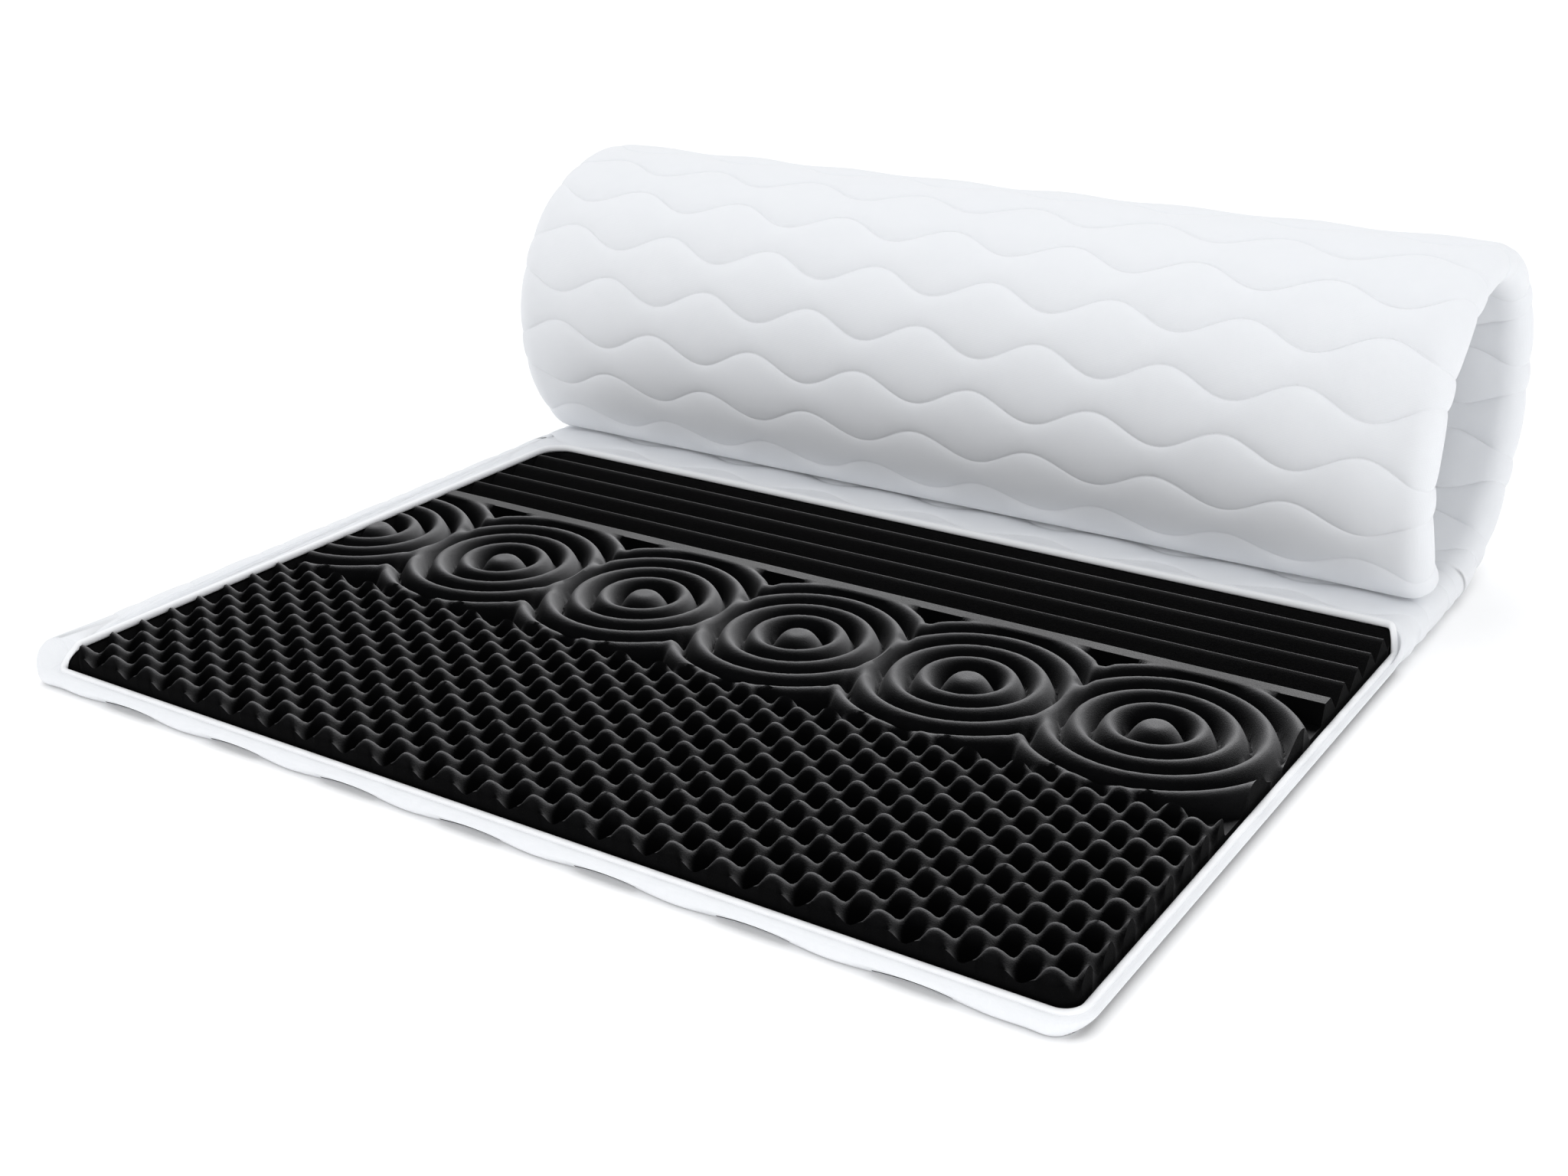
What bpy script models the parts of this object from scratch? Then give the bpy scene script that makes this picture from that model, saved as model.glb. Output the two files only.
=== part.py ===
"""Quilted mattress topper lying flat, with its far half rolled up, over and down again.

The cover is one filled, folded slab.  In the half that lies flat its top is cut away in
a window with a piped edge, and the profiled foam core shows in it.  The window's edge is
at full height on the left and at the back, and low in front and on the right.

Metres, +Z up, front towards -Y, origin under the middle of the whole.
"""
import math

import bmesh
import bpy

# The slab: its size, and the loop that its far half makes
SLAB_LEFT = -0.600
SLAB_RIGHT = 0.607
THICK = 0.049
LOOP_RADIUS = 0.1813  # of the slab's middle
LOOP_Y = 0.3973  # the loop's axis
LOOP_END_DEG = 225.9  # where the rolled half ends, from +Y up and over
FRONT_Y = -0.6037
EDGE_SIDE = 0.030  # how far in from the sides the slab starts to round over
EDGE_TIP = 0.0245  # the same at its rolled end
EDGE_STEPS = (0.5, 0.87, 1.0)

# The wave quilting: sewn lines across the slab, neighbours swinging opposite ways
WAVE_LENGTH = 0.1514
WAVE_SWING = 0.0123
WAVE_X = 0.0030
LINE_DEG = 106.56  # line 0, on the loop
LINE_STEP_DEG = 18.25
LAST_LOOP_LINE = 6
FIRST_LOOP_LINE = -11  # from here to the front the lines lie on the flat half
FLAT_LINE_STEP = 0.0525
FIRST_TOP_LINE = -14  # the front line on the strip behind the window
FIRST_STRIP_LINE = -28  # the front line across the strip left of the window
SEWN_DEPTH = 0.0045  # of a sewn line under the fullest channel
NARROW_FULLNESS = 0.6  # puff of the narrowest place against the widest
EDGE_NOTCH = 0.003  # a sewn line draws the side in
FADE = 0.045  # the lines run out this near the sides
UNDER_CHANNEL = ((0.0, 0.0), (0.27, 1.0), (0.73, 1.0))  # share of the way, puff
OVER_CHANNEL = ((0.0, 0.0), (0.5, 1.0))
UNDER_COLUMNS = 6  # per wave
OVER_COLUMNS = 4
COLUMN_ROOM = 0.3  # share of a step that the first column keeps from the rounded edge

# The window
WINDOW_LEFT = -0.5402
WINDOW_RIGHT = 0.5905
WINDOW_FRONT = -0.5895
WINDOW_BACK = 0.1930
FRONT_RIGHT_CORNER = 0.017
BACK_RIGHT_CORNER = 0.016
BACK_LEFT_CORNER = 0.028
CORNER_STEPS = 7
CLIMB_DEG = (10.0, 65.0)  # where the edge climbs in the corner behind on the right
FRONT_LEFT_CORNER = (  # x, y, outward direction in degrees, share of the full height
    (-0.5402, -0.5700, 180, 1.00), (-0.5412, -0.5780, 165, 0.97), (-0.5455, -0.5822, 145, 0.82),
    (-0.5525, -0.5846, 155, 0.48), (-0.5545, -0.5868, 200, 0.14), (-0.5520, -0.5888, 245, 0.00),
    (-0.5440, -0.5895, 270, 0.00))
TRAY_FLOOR = 0.006
SLAB_START_Y = 0.205  # behind the window the whole slab begins
HIGH_CREST = 0.0505  # top of the piping where the edge is at full height
LOW_CREST = 0.0235
REBATE_WIDTH = 0.0074
REBATE_DEPTH = 0.0102
REBATE_SHOULDER = 0.0030
PIPING_GAP = 0.0004
PIPING_WIDTH = 0.0066
PIPING_DEPTH = 0.0083
PIPING_SIDE_DROP = 0.0035  # under its top its sides begin
PIPING_BEVEL = (0.0012, 0.0010)  # the crown's last step out and down

# The low outer edge in front and on the right, from its top down as (inset, height)
TRAY_RIGHT = 0.604
LEFT_CORNER = 0.024
RIGHT_CORNER = 0.034
FRONT_EDGE = ((0.0038, 0.0205), (0.0018, 0.0188), (0.0005, 0.0160), (0.0, 0.0115),
              (0.0008, 0.0070), (0.0030, 0.0035), (0.0070, 0.0))
RIGHT_EDGE = ((0.0040, 0.0205), (0.0016, 0.0198), (0.0, 0.0178), (0.0030, 0.0120),
              (0.0072, 0.0070), (0.0110, 0.0033), (0.0150, 0.0))
RIGHT_CLIMB = ((0.150, 0.0), (0.172, 0.25), (0.190, 0.65))  # y, share of the full height
FRONT_WAVE_X = WAVE_X + WAVE_LENGTH / 2
FRONT_LIFT = 0.0050  # the wavy lower edge lifts this far off the floor
FRONT_TUCK = 0.0060
FRONT_STATIONS = 32

# The foam core
CORE_LEFT = -0.5360
CORE_RIGHT = 0.5877
CORE_FRONT = -0.5887
CORE_BACK = 0.1922
CORE_CORNERS = (0.006, 0.0145, 0.0255, 0.0135)  # front left and right, back left and right
CORE_BOTTOM = TRAY_FLOOR + 0.0004
RING_Y = -0.1536
RING_HALF_LENGTH = 0.125
RIDGE_START_Y = RING_Y + RING_HALF_LENGTH
EGG_END_Y = RING_Y - RING_HALF_LENGTH
EGG_X = -0.5350
EGG_PITCH = 0.0502
EGG_Y = -0.5800
EGG_ROW = 0.0194
EGG_ROWS = 16
EGG_MIDDLE = 0.0367
EGG_WAVES = (  # how often each wave repeats across and along, and its height
    (1, 1, 0.0075), (1, -1, 0.0075), (2, 0, -0.0022))
FIRST_RING_X = -0.5329
RING_SPACING = 0.2002
RING_SETS = 6
RING_PITCH = 0.0298
FIRST_RING = 0.0448
RING_CREST = 0.0470
RING_VALLEY = 0.0230
DOME_FLAT = 0.004
RING_RADII = (0.013, 0.0299, 0.0448, 0.0597, 0.0746, 0.0895, 0.1044, 0.1193, 0.1342, 0.1491)
RING_STEPS = 3  # spokes from an axis to the corner of a ring set's stretch
RIDGE_PITCH = 0.0414
FIRST_RIDGE_Y = -0.0102
RIDGE_CREST = 0.0463
RIDGE_VALLEY = 0.0255
RIDGES = 5
BAND_STEP = 0.0020  # the flat band before the first ridge rises from the rings over this length
CORE_CORNER_YS = (0.1790, 0.1850)  # extra steps round the back corners
CORE_CORNER_STEPS = (0.0, 0.0060, 0.0136, 0.0256)

COVER_COLOUR = (0.80, 0.82, 0.85, 1.0)
PIPING_COLOUR = (0.86, 0.88, 0.91, 1.0)
CORE_COLOUR = (0.012, 0.012, 0.014, 1.0)
COVER_ROUGHNESS = 0.85
PIPING_ROUGHNESS = 0.6
CORE_ROUGHNESS = 0.5
SHARP_DEG = 50  # edges that turn more than this stay sharp


class Skin:
    """The points and faces of one closed body while it is being made."""

    def __init__(self):
        self.points = []
        self.faces = []
        self.known = {}

    def point(self, place):
        """Index of the point at a place, which is new or already there."""
        key = tuple(round(value, 6) for value in place)
        if key not in self.known:
            self.known[key] = len(self.points)
            self.points.append(place)
        return self.known[key]

    def face(self, corners):
        """Adds a face, unless its corners have run together."""
        corners = [c for n, c in enumerate(corners) if c != corners[n - 1]]
        if len(set(corners)) > 2:
            self.faces.append(corners)

    def strip(self, low, high):
        """Joins two chains of (measure, point) pairs, each in rising measure."""
        a = b = 0
        while a < len(low) - 1 or b < len(high) - 1:
            if b == len(high) - 1:
                step_low = True
            elif a == len(low) - 1:
                step_low = False
            else:
                step_low = low[a + 1][0] + low[a][0] <= high[b + 1][0] + high[b][0]
            if step_low:
                self.face([low[a][1], low[a + 1][1], high[b][1]])
                a += 1
            else:
                self.face([low[a][1], high[b + 1][1], high[b][1]])
                b += 1

    def ring(self, first, second):
        """Joins two closed chains that run the same way, by the shorter link each time."""
        start = min(range(len(second)), key=lambda n: self.apart(first[0], second[n]))
        second = second[start:] + second[:start]
        first, second = first + first[:1], second + second[:1]
        a = b = 0
        while a < len(first) - 1 or b < len(second) - 1:
            if b == len(second) - 1:
                step_first = True
            elif a == len(first) - 1:
                step_first = False
            else:
                step_first = (self.apart(first[a + 1], second[b])
                              < self.apart(first[a], second[b + 1]))
            if step_first:
                self.face([first[a], first[a + 1], second[b]])
                a += 1
            else:
                self.face([first[a], second[b + 1], second[b]])
                b += 1

    def apart(self, first, second):
        return math.dist(self.points[first], self.points[second])

    def band(self, first, second):
        """Joins two closed chains of equal length."""
        for n in range(len(first)):
            self.face([first[n - 1], first[n], second[n], second[n - 1]])

    def make(self, name, colour, roughness):
        """Turns the skin into a smooth object with a material of its own."""
        mesh = bpy.data.meshes.new(name)
        mesh.from_pydata(self.points, [], self.faces)
        body = bmesh.new()
        body.from_mesh(mesh)
        bmesh.ops.triangulate(body, faces=[f for f in body.faces if len(f.verts) == 4])
        bmesh.ops.recalc_face_normals(body, faces=body.faces[:])
        if body.calc_volume(signed=True) < 0:
            bmesh.ops.reverse_faces(body, faces=body.faces[:])
        body.to_mesh(mesh)
        body.free()
        mesh.shade_smooth()
        mesh.set_sharp_from_angle(angle=math.radians(SHARP_DEG))
        mesh.materials.append(plain_material(name, colour, roughness))
        made = bpy.data.objects.new(name, mesh)
        bpy.context.scene.collection.objects.link(made)
        return made


WINDOW_MIDDLE_Y = (WINDOW_FRONT + WINDOW_BACK) / 2
INNER_LEFT = SLAB_LEFT + EDGE_SIDE
INNER_RIGHT = SLAB_RIGHT - EDGE_SIDE
LOOP_Z = LOOP_RADIUS + THICK / 2
TIP = LOOP_RADIUS * math.radians(LOOP_END_DEG + 90) + EDGE_TIP


def plain_material(name, colour, roughness):
    material = bpy.data.materials.new(name)
    material.use_nodes = True
    shader = material.node_tree.nodes["Principled BSDF"]
    shader.inputs["Base Color"].default_value = colour
    shader.inputs["Roughness"].default_value = roughness
    shader.inputs["Metallic"].default_value = 0.0
    return material


def clamp(value):
    return min(1.0, max(0.0, value))


def ease(value):
    value = clamp(value)
    return value * value * (3 - 2 * value)


def wave(x):
    return math.cos(2 * math.pi * (x - WAVE_X) / WAVE_LENGTH)


# ---- the folded slab ---------------------------------------------------------------


class Row:
    """One row of points across the slab, on a sewn line or between two of them.

    base is its place along the slab's middle, from the foot of the loop; swing is how
    far it waves; spread is how much its channel widens and narrows; puff is 0 on a line.
    """

    def __init__(self, base, swing=0.0, spread=0.0, puff=1.0):
        self.base = base
        self.swing = swing
        self.spread = spread
        self.puff = puff

    def along(self, x):
        return self.base + self.swing * wave(x)

    def sunk(self, x):
        """How far the row lies under the fullest channel."""
        wide = 0.5 + 0.5 * self.spread * wave(x)
        full = NARROW_FULLNESS + (1 - NARROW_FULLNESS) * wide
        return SEWN_DEPTH * (1 - self.puff * full) if self.spread or not self.puff else 0.0


def line_base(line):
    loop_line = max(line, FIRST_LOOP_LINE)
    base = LOOP_RADIUS * math.radians(LINE_DEG + LINE_STEP_DEG * loop_line + 90)
    return base + (line - loop_line) * FLAT_LINE_STEP


def line_swing(line):
    return WAVE_SWING if line % 2 == 0 else -WAVE_SWING


def channel_rows(line, steps):
    """The rows from a sewn line on, up to the next one."""
    start, end = line_base(line), line_base(line + 1)
    swing, next_swing = line_swing(line), line_swing(line + 1)
    spread = 1.0 if next_swing > swing else -1.0
    rows = []
    for share, puff in steps:
        base = start + share * (end - start)
        rows.append(Row(base, swing + share * (next_swing - swing), spread, puff))
    return rows


def tip_rows():
    """The rows that round the rolled end over, the last one on its very edge."""
    rows = [Row(TIP - EDGE_TIP)]
    return rows + [Row(TIP - EDGE_TIP * (1 - step)) for step in EDGE_STEPS]


def slab_rows(first, last, steps):
    rows = []
    for line in range(first, last):
        rows += channel_rows(line, steps)
    return rows


def last_channel():
    """The last sewn line and the half channel after it."""
    line, half = channel_rows(LAST_LOOP_LINE, OVER_CHANNEL)
    half.base = (line.base + TIP - EDGE_TIP) / 2
    half.swing = line.swing / 2
    return [line, half]


def middle(along):
    """Point of the slab's middle as (y, z), and the outward direction there."""
    if along <= 0:
        return (LOOP_Y + along, THICK / 2), (0.0, -1.0)
    turn = along / LOOP_RADIUS - math.pi / 2
    out = (math.cos(turn), math.sin(turn))
    return (LOOP_Y + LOOP_RADIUS * out[0], LOOP_Z + LOOP_RADIUS * out[1]), out


def slab_place(row, x, edge, side):
    """A point on the slab: side is 1 outside (underneath), -1 inside (on top)."""
    along = row.along(x)
    tip = clamp(1 - (TIP - along) / EDGE_TIP)
    full = math.sqrt(max(0.0, 1 - tip * tip - edge * edge))
    fade = ease(min(x - SLAB_LEFT, SLAB_RIGHT - x) / FADE)
    sunk = row.sunk(x) * fade
    if side > 0 and row.base <= 0:
        sunk = 0.0
    half = (THICK / 2 - sunk) * full
    (y, z), out = middle(along)
    return (x, y + side * half * out[0], z + side * half * out[1])


def edge_place(row, end, step, side):
    """A point on the rounded edge: end is -1 or 1, step runs from 0 to 1 outwards."""
    tip = clamp(1 - (TIP - row.base) / EDGE_TIP)
    edge = step * math.sqrt(max(0.0, 1 - tip * tip))
    notch = EDGE_NOTCH * (1 - row.puff)
    inner = INNER_LEFT if end < 0 else INNER_RIGHT
    return slab_place(row, inner + end * (EDGE_SIDE - notch) * edge, edge, side)


def columns(per_wave):
    """Places across the slab, on the wave's turns and evenly between them."""
    step = WAVE_LENGTH / per_wave
    count = int(SLAB_RIGHT / step)
    turns = [WAVE_X + n * step for n in range(-count, count + 1)]
    room = COLUMN_ROOM * step
    inner = [x for x in turns if INNER_LEFT + room < x < INNER_RIGHT - room]
    return [INNER_LEFT] + inner + [INNER_RIGHT]


def inner_chain(skin, row, xs, side):
    return [(x, skin.point(slab_place(row, x, 0.0, side))) for x in xs]


def edge_points(skin, row, end, side):
    """The points of one row from its flat part out over the rounded edge."""
    steps = (0.0,) + EDGE_STEPS
    return [skin.point(edge_place(row, end, step, side)) for step in steps]


def cover_rows(skin, rows, xs, side):
    """Skins one side of the slab between its first and its last row, edges included."""
    chains = [inner_chain(skin, row, xs, side) for row in rows]
    for low, high in zip(chains, chains[1:]):
        skin.strip(low, high)
    return chains


def edge_strips(skin, rows, end, side, outermost):
    """Skins the rounded edge of one side, out to its outermost step."""
    lines = [edge_points(skin, row, end, side)[:outermost + 1] for row in rows]
    for low, high in zip(lines, lines[1:]):
        for n in range(outermost):
            skin.face([low[n], low[n + 1], high[n + 1]])
            skin.face([low[n], high[n + 1], high[n]])
    return lines


def edge_chain(skin, rows, end, step, side):
    x = SLAB_LEFT if end < 0 else SLAB_RIGHT
    return [(row.along(x), skin.point(edge_place(row, end, step, side))) for row in rows]


# ---- the tray round the window ---------------------------------------------------------


def corner_turns(start_deg, steps=CORNER_STEPS):
    return [math.radians(start_deg + 90 * n / (steps - 1)) for n in range(steps)]


def corner_path(x, y, radius, start_deg):
    """Stations round one corner of the window, whose sides would meet at (x, y)."""
    centre_x = x + math.copysign(radius, -x)
    centre_y = y + math.copysign(radius, WINDOW_MIDDLE_Y - y)
    path = []
    for turn in corner_turns(start_deg):
        out = (math.cos(turn), math.sin(turn))
        climb = (math.degrees(turn) - CLIMB_DEG[0]) / (CLIMB_DEG[1] - CLIMB_DEG[0])
        high = ease(climb) if y > 0 else 0.0
        path.append((centre_x + radius * out[0], centre_y + radius * out[1], out, high))
    return path


def window_path():
    """Stations round the window as (x, y, outward direction, share of full height)."""
    path = []
    for x, y, out_deg, high in FRONT_LEFT_CORNER:
        turn = math.radians(out_deg)
        path.append((x, y, (math.cos(turn), math.sin(turn)), high))
    path += corner_path(WINDOW_RIGHT, WINDOW_FRONT, FRONT_RIGHT_CORNER, 270)
    path += corner_path(WINDOW_RIGHT, WINDOW_BACK, BACK_RIGHT_CORNER, 0)
    path += corner_path(WINDOW_LEFT, WINDOW_BACK, BACK_LEFT_CORNER, 90)
    return path


def crest_height(high):
    return LOW_CREST + high * (HIGH_CREST - LOW_CREST)


def path_loop(skin, offset, height):
    """A closed chain beside the window path; height is a function of the height share."""
    loop = []
    for x, y, out, high in window_path():
        loop.append(skin.point((x + offset * out[0], y + offset * out[1], height(high))))
    return loop


def lifted(low_edge, lift):
    """A low edge whose rim is raised off the floor, and its lower part tucked in, by a share."""
    middle_z, rim_z, lower_z = (low_edge[n][1] for n in (-4, -3, -2))
    found = []
    for inset, z in low_edge:
        if z == rim_z:
            z += FRONT_LIFT * lift
        elif z < rim_z:
            z += FRONT_LIFT * lift * z / lower_z
        if z <= middle_z:
            inset += FRONT_TUCK * lift * (1 - z / middle_z)
        found.append((inset, z))
    return found


def full_edge():
    """The slab's full rounded edge from its top down, as (inset, height)."""
    steps = (0.0,) + EDGE_STEPS
    found = []
    for step, side in [(s, 1) for s in steps] + [(s, -1) for s in reversed(steps[:-1])]:
        found.append((EDGE_SIDE * (1 - step), THICK / 2 * (1 + side * math.sqrt(1 - step * step))))
    return found


def outer_station(skin, x, y, out, low_edge, high=0.0, round_in=0.0, lift=0.0):
    """The points over the tray's outer edge, top to bottom, at one place.

    high is the share of the full height, round_in that of the full edge's rounding, and
    lift that of the wave by which the lower rim rises off the floor.
    """
    chain = []
    for (inset, z), (full_inset, full_z) in zip(lifted(low_edge, lift), full_edge()):
        inset += round_in * (full_inset - inset)
        z += high * (full_z - z)
        chain.append(skin.point((x - inset * out[0], y - inset * out[1], z)))
    return chain


def between(first, second, share):
    """A low edge part of the way from one to another."""
    return [(a[0] + share * (b[0] - a[0]), a[1] + share * (b[1] - a[1]))
            for a, b in zip(first, second)]


def left_corner_stations(skin):
    """The corner where the full left edge comes down to the low front."""
    chains = []
    for n, turn in enumerate(corner_turns(180)):
        out = (math.cos(turn), math.sin(turn))
        high = 1 - ease(n / (CORNER_STEPS - 1))
        x = SLAB_LEFT + LEFT_CORNER * (1 + out[0])
        y = FRONT_Y + LEFT_CORNER * (1 + out[1])
        chains.append(outer_station(skin, x, y, out, FRONT_EDGE, high, high ** 3))
    return chains


def right_corner_stations(skin):
    chains = []
    for n, turn in enumerate(corner_turns(270)):
        out = (math.cos(turn), math.sin(turn))
        low_edge = between(FRONT_EDGE, RIGHT_EDGE, ease(n / (CORNER_STEPS - 1)))
        x = TRAY_RIGHT - RIGHT_CORNER * (1 - out[0])
        y = FRONT_Y + RIGHT_CORNER * (1 + out[1])
        chains.append(outer_station(skin, x, y, out, low_edge))
    return chains


def front_stations(skin):
    """The low front edge, whose lower rim waves as the quilting under it does."""
    start, end = SLAB_LEFT + LEFT_CORNER, TRAY_RIGHT - RIGHT_CORNER
    chains = []
    for n in range(1, FRONT_STATIONS):
        x = start + n / FRONT_STATIONS * (end - start)
        lift = 0.5 - 0.5 * math.cos(2 * math.pi * (x - FRONT_WAVE_X) / WAVE_LENGTH)
        lift *= ease(min(x - start, end - x) / RIGHT_CORNER)
        chains.append(outer_station(skin, x, FRONT_Y, (0.0, -1.0), FRONT_EDGE, lift=lift))
    return chains


def right_stations(skin):
    """The low right edge, which climbs to full height beside the window's back corner."""
    chains = []
    for y, high in RIGHT_CLIMB:
        x = TRAY_RIGHT + high * (SLAB_RIGHT - TRAY_RIGHT)
        chains.append(outer_station(skin, x, y, (1.0, 0.0), RIGHT_EDGE, high))
    return chains


def left_stations(skin, rows):
    """The full left edge: the slab's own rounded edge, seen from top to bottom."""
    return [side_station(skin, row, -1) for row in rows]


def side_station(skin, row, end):
    """The slab's rounded edge at one row, as a station of the tray's edge."""
    return edge_points(skin, row, end, -1) + edge_points(skin, row, end, 1)[-2::-1]


def join_stations(skin, chains):
    for first, second in zip(chains, chains[1:]):
        for n in range(len(first) - 1):
            skin.face([first[n], first[n + 1], second[n + 1]])
            skin.face([first[n], second[n + 1], second[n]])


def make_cover():
    """The quilted cover with its filling: the rolled slab and the tray in one body."""
    skin = Skin()
    start = Row(SLAB_START_Y - LOOP_Y)
    flat_rows = slab_rows(FIRST_TOP_LINE, FIRST_LOOP_LINE + 1, OVER_CHANNEL)
    over_rows = [start] + flat_rows
    over_rows += slab_rows(FIRST_LOOP_LINE + 1, LAST_LOOP_LINE, OVER_CHANNEL)
    over_rows += last_channel() + tip_rows()[:-1]
    foot = Row(0.0)
    rise = channel_rows(FIRST_LOOP_LINE, UNDER_CHANNEL)[-1]
    under_rows = [foot, rise] + slab_rows(FIRST_LOOP_LINE + 1, LAST_LOOP_LINE, UNDER_CHANNEL)
    under_rows += last_channel() + tip_rows()
    rim_rows = [start] + flat_rows[:-1] + under_rows

    # top and tunnel wall
    over_xs = columns(OVER_COLUMNS)
    over = cover_rows(skin, over_rows, over_xs, -1)
    # outside of the roll
    under = cover_rows(skin, under_rows, columns(UNDER_COLUMNS), 1)
    for end in (-1, 1):
        edge_strips(skin, over_rows, end, -1, 2)
        edge_strips(skin, rim_rows, end, 1, 3)
        skin.strip(edge_chain(skin, over_rows, end, EDGE_STEPS[1], -1),
                   edge_chain(skin, rim_rows, end, 1.0, 1))
    skin.strip(tip_chain(skin, over_rows[-1], over_xs), under[-1])

    # the tray
    left_rows = slab_rows(FIRST_STRIP_LINE, FIRST_TOP_LINE - 1, OVER_CHANNEL)
    left_rows.append(channel_rows(FIRST_TOP_LINE - 1, OVER_CHANNEL)[0])
    left = left_stations(skin, [start] + left_rows[::-1])
    stations = left + left_corner_stations(skin) + front_stations(skin)
    stations += right_corner_stations(skin) + right_stations(skin)
    stations.append(side_station(skin, start, 1))
    join_stations(skin, stations)
    window_edge(skin, [s[0] for s in stations] + [c for _, c in over[0]][-2:0:-1])
    underside(skin, stations, rim_rows, under[0])
    return skin.make("cover", COVER_COLOUR, COVER_ROUGHNESS)


def tip_chain(skin, row, xs):
    """The last row inside, out to where its rounded edge meets the tip."""
    inner = inner_chain(skin, row, xs, -1)
    ends = []
    for end in (-1, 1):
        place = edge_place(row, end, EDGE_STEPS[1], -1)
        mid = edge_place(row, end, EDGE_STEPS[0], -1)
        ends.append([(mid[0], skin.point(mid)), (place[0], skin.point(place))])
    return ends[0][::-1] + inner + ends[1]


def window_edge(skin, outside):
    """The window's wall, the rebate for the piping and the top out to the edge."""
    wall_foot = path_loop(skin, 0.0, lambda high: TRAY_FLOOR)
    wall_top = path_loop(skin, 0.0, lambda high: crest_height(high) - REBATE_DEPTH)
    rebate = path_loop(skin, REBATE_WIDTH, lambda high: crest_height(high) - REBATE_DEPTH)
    shoulder = path_loop(skin, REBATE_WIDTH, lambda high: crest_height(high) - REBATE_SHOULDER)
    skin.face(wall_foot)
    skin.band(wall_foot, wall_top)
    skin.band(wall_top, rebate)
    skin.band(rebate, shoulder)
    skin.ring(shoulder, outside)


def underside(skin, stations, rim_rows, foot_chain):
    """The flat underside, from the front edge back to the foot of the loop."""
    flat_rows = [row for row in rim_rows if row.base <= 0][1:-1]
    outline = [station[-1] for station in stations]
    outline += [skin.point(edge_place(row, 1, 0.0, 1)) for row in flat_rows]
    outline += [c for _, c in reversed(foot_chain)]
    outline += [skin.point(edge_place(row, -1, 0.0, 1)) for row in reversed(flat_rows)]
    skin.face(outline)


def make_piping():
    """The bead sewn round the window, following its edge up and down."""
    skin = Skin()
    near, far = PIPING_GAP, PIPING_GAP + PIPING_WIDTH
    step, drop = PIPING_BEVEL
    section = ((near, -PIPING_DEPTH), (far, -PIPING_DEPTH), (far, -PIPING_SIDE_DROP),
               (far - step, -drop), ((near + far) / 2, 0.0), (near + step, -drop),
               (near, -PIPING_SIDE_DROP))
    loops = []
    for offset, rise in section:
        loops.append(path_loop(skin, offset, lambda high, r=rise: crest_height(high) + r))
    for n, loop in enumerate(loops):
        skin.band(loops[n - 1], loop)
    return skin.make("window_piping", PIPING_COLOUR, PIPING_ROUGHNESS)


# ---- the foam core ---------------------------------------------------------------------


def tucked(x, y):
    """Draws a point of the core's square plan in under its rounded corners."""
    right, back = x > 0, y > WINDOW_MIDDLE_Y
    radius = CORE_CORNERS[int(right) + 2 * int(back)]
    centre_x = CORE_RIGHT - radius if right else CORE_LEFT + radius
    centre_y = CORE_BACK - radius if back else CORE_FRONT + radius
    dx, dy = x - centre_x, y - centre_y
    if (dx > 0) != right or (dy > 0) != back or not dx or not dy:
        return x, y
    share = max(abs(dx), abs(dy)) / math.hypot(dx, dy)
    return centre_x + dx * share, centre_y + dy * share


def egg_height(x, y):
    """Bumps and pits that change places from row to row."""
    across = 2 * math.pi * (x - EGG_X) / EGG_PITCH
    along = math.pi * (y - EGG_Y) / EGG_ROW
    height = EGG_MIDDLE
    for times_across, times_along, rise in EGG_WAVES:
        height += rise * math.cos(times_across * across + times_along * along)
    return height


def ring_height(radius):
    if radius < RING_RADII[1]:
        share = max(0.0, radius - DOME_FLAT) / (RING_RADII[1] - DOME_FLAT)
        swing = math.cos(math.pi * share)
    else:
        swing = math.cos(2 * math.pi * (radius - FIRST_RING) / RING_PITCH)
    return (RING_CREST + RING_VALLEY) / 2 + (RING_CREST - RING_VALLEY) / 2 * swing


def egg_point(skin, x, y):
    x, y = tucked(x, y)
    return skin.point((x, y, egg_height(x, y)))


def egg_zone(skin):
    """Rows of bumps and pits, each square of four split at its saddle; returns its rows."""
    step = EGG_PITCH / 2
    last = int((CORE_RIGHT - EGG_X) / step)
    xs = [CORE_LEFT] + [EGG_X + n * step for n in range(1, last + 1)] + [CORE_RIGHT]
    ys = [CORE_FRONT] + [EGG_Y + n * EGG_ROW for n in range(EGG_ROWS)]
    rows = [[(x, egg_point(skin, x, y)) for x in xs] for y in ys]
    for j in range(1, len(rows)):
        for i in range(1, len(xs)):
            ring = [rows[j - 1][i - 1][1], rows[j - 1][i][1], rows[j][i][1], rows[j][i - 1][1]]
            if j == 1:
                skin.face(ring[:3])
                skin.face([ring[0], ring[2], ring[3]])
                continue
            saddle = egg_point(skin, (xs[i - 1] + xs[i]) / 2, (ys[j - 1] + ys[j]) / 2)
            for n in range(4):
                skin.face([ring[n - 1], ring[n], saddle])
    return rows


def ring_turns(half):
    """Directions round a ring set; half keeps those towards +X only."""
    corner = math.atan2(RING_HALF_LENGTH, RING_SPACING / 2)
    quarter = [corner * n / RING_STEPS for n in range(RING_STEPS)]
    quarter += [corner + (math.pi / 2 - corner) * n / RING_STEPS for n in range(RING_STEPS + 1)]
    right = [-turn for turn in reversed(quarter[1:])] + quarter
    if half:
        return right
    return right + [math.pi - turn for turn in reversed(quarter[:-1])] + [
        turn - math.pi for turn in quarter[1:-1]]


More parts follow.
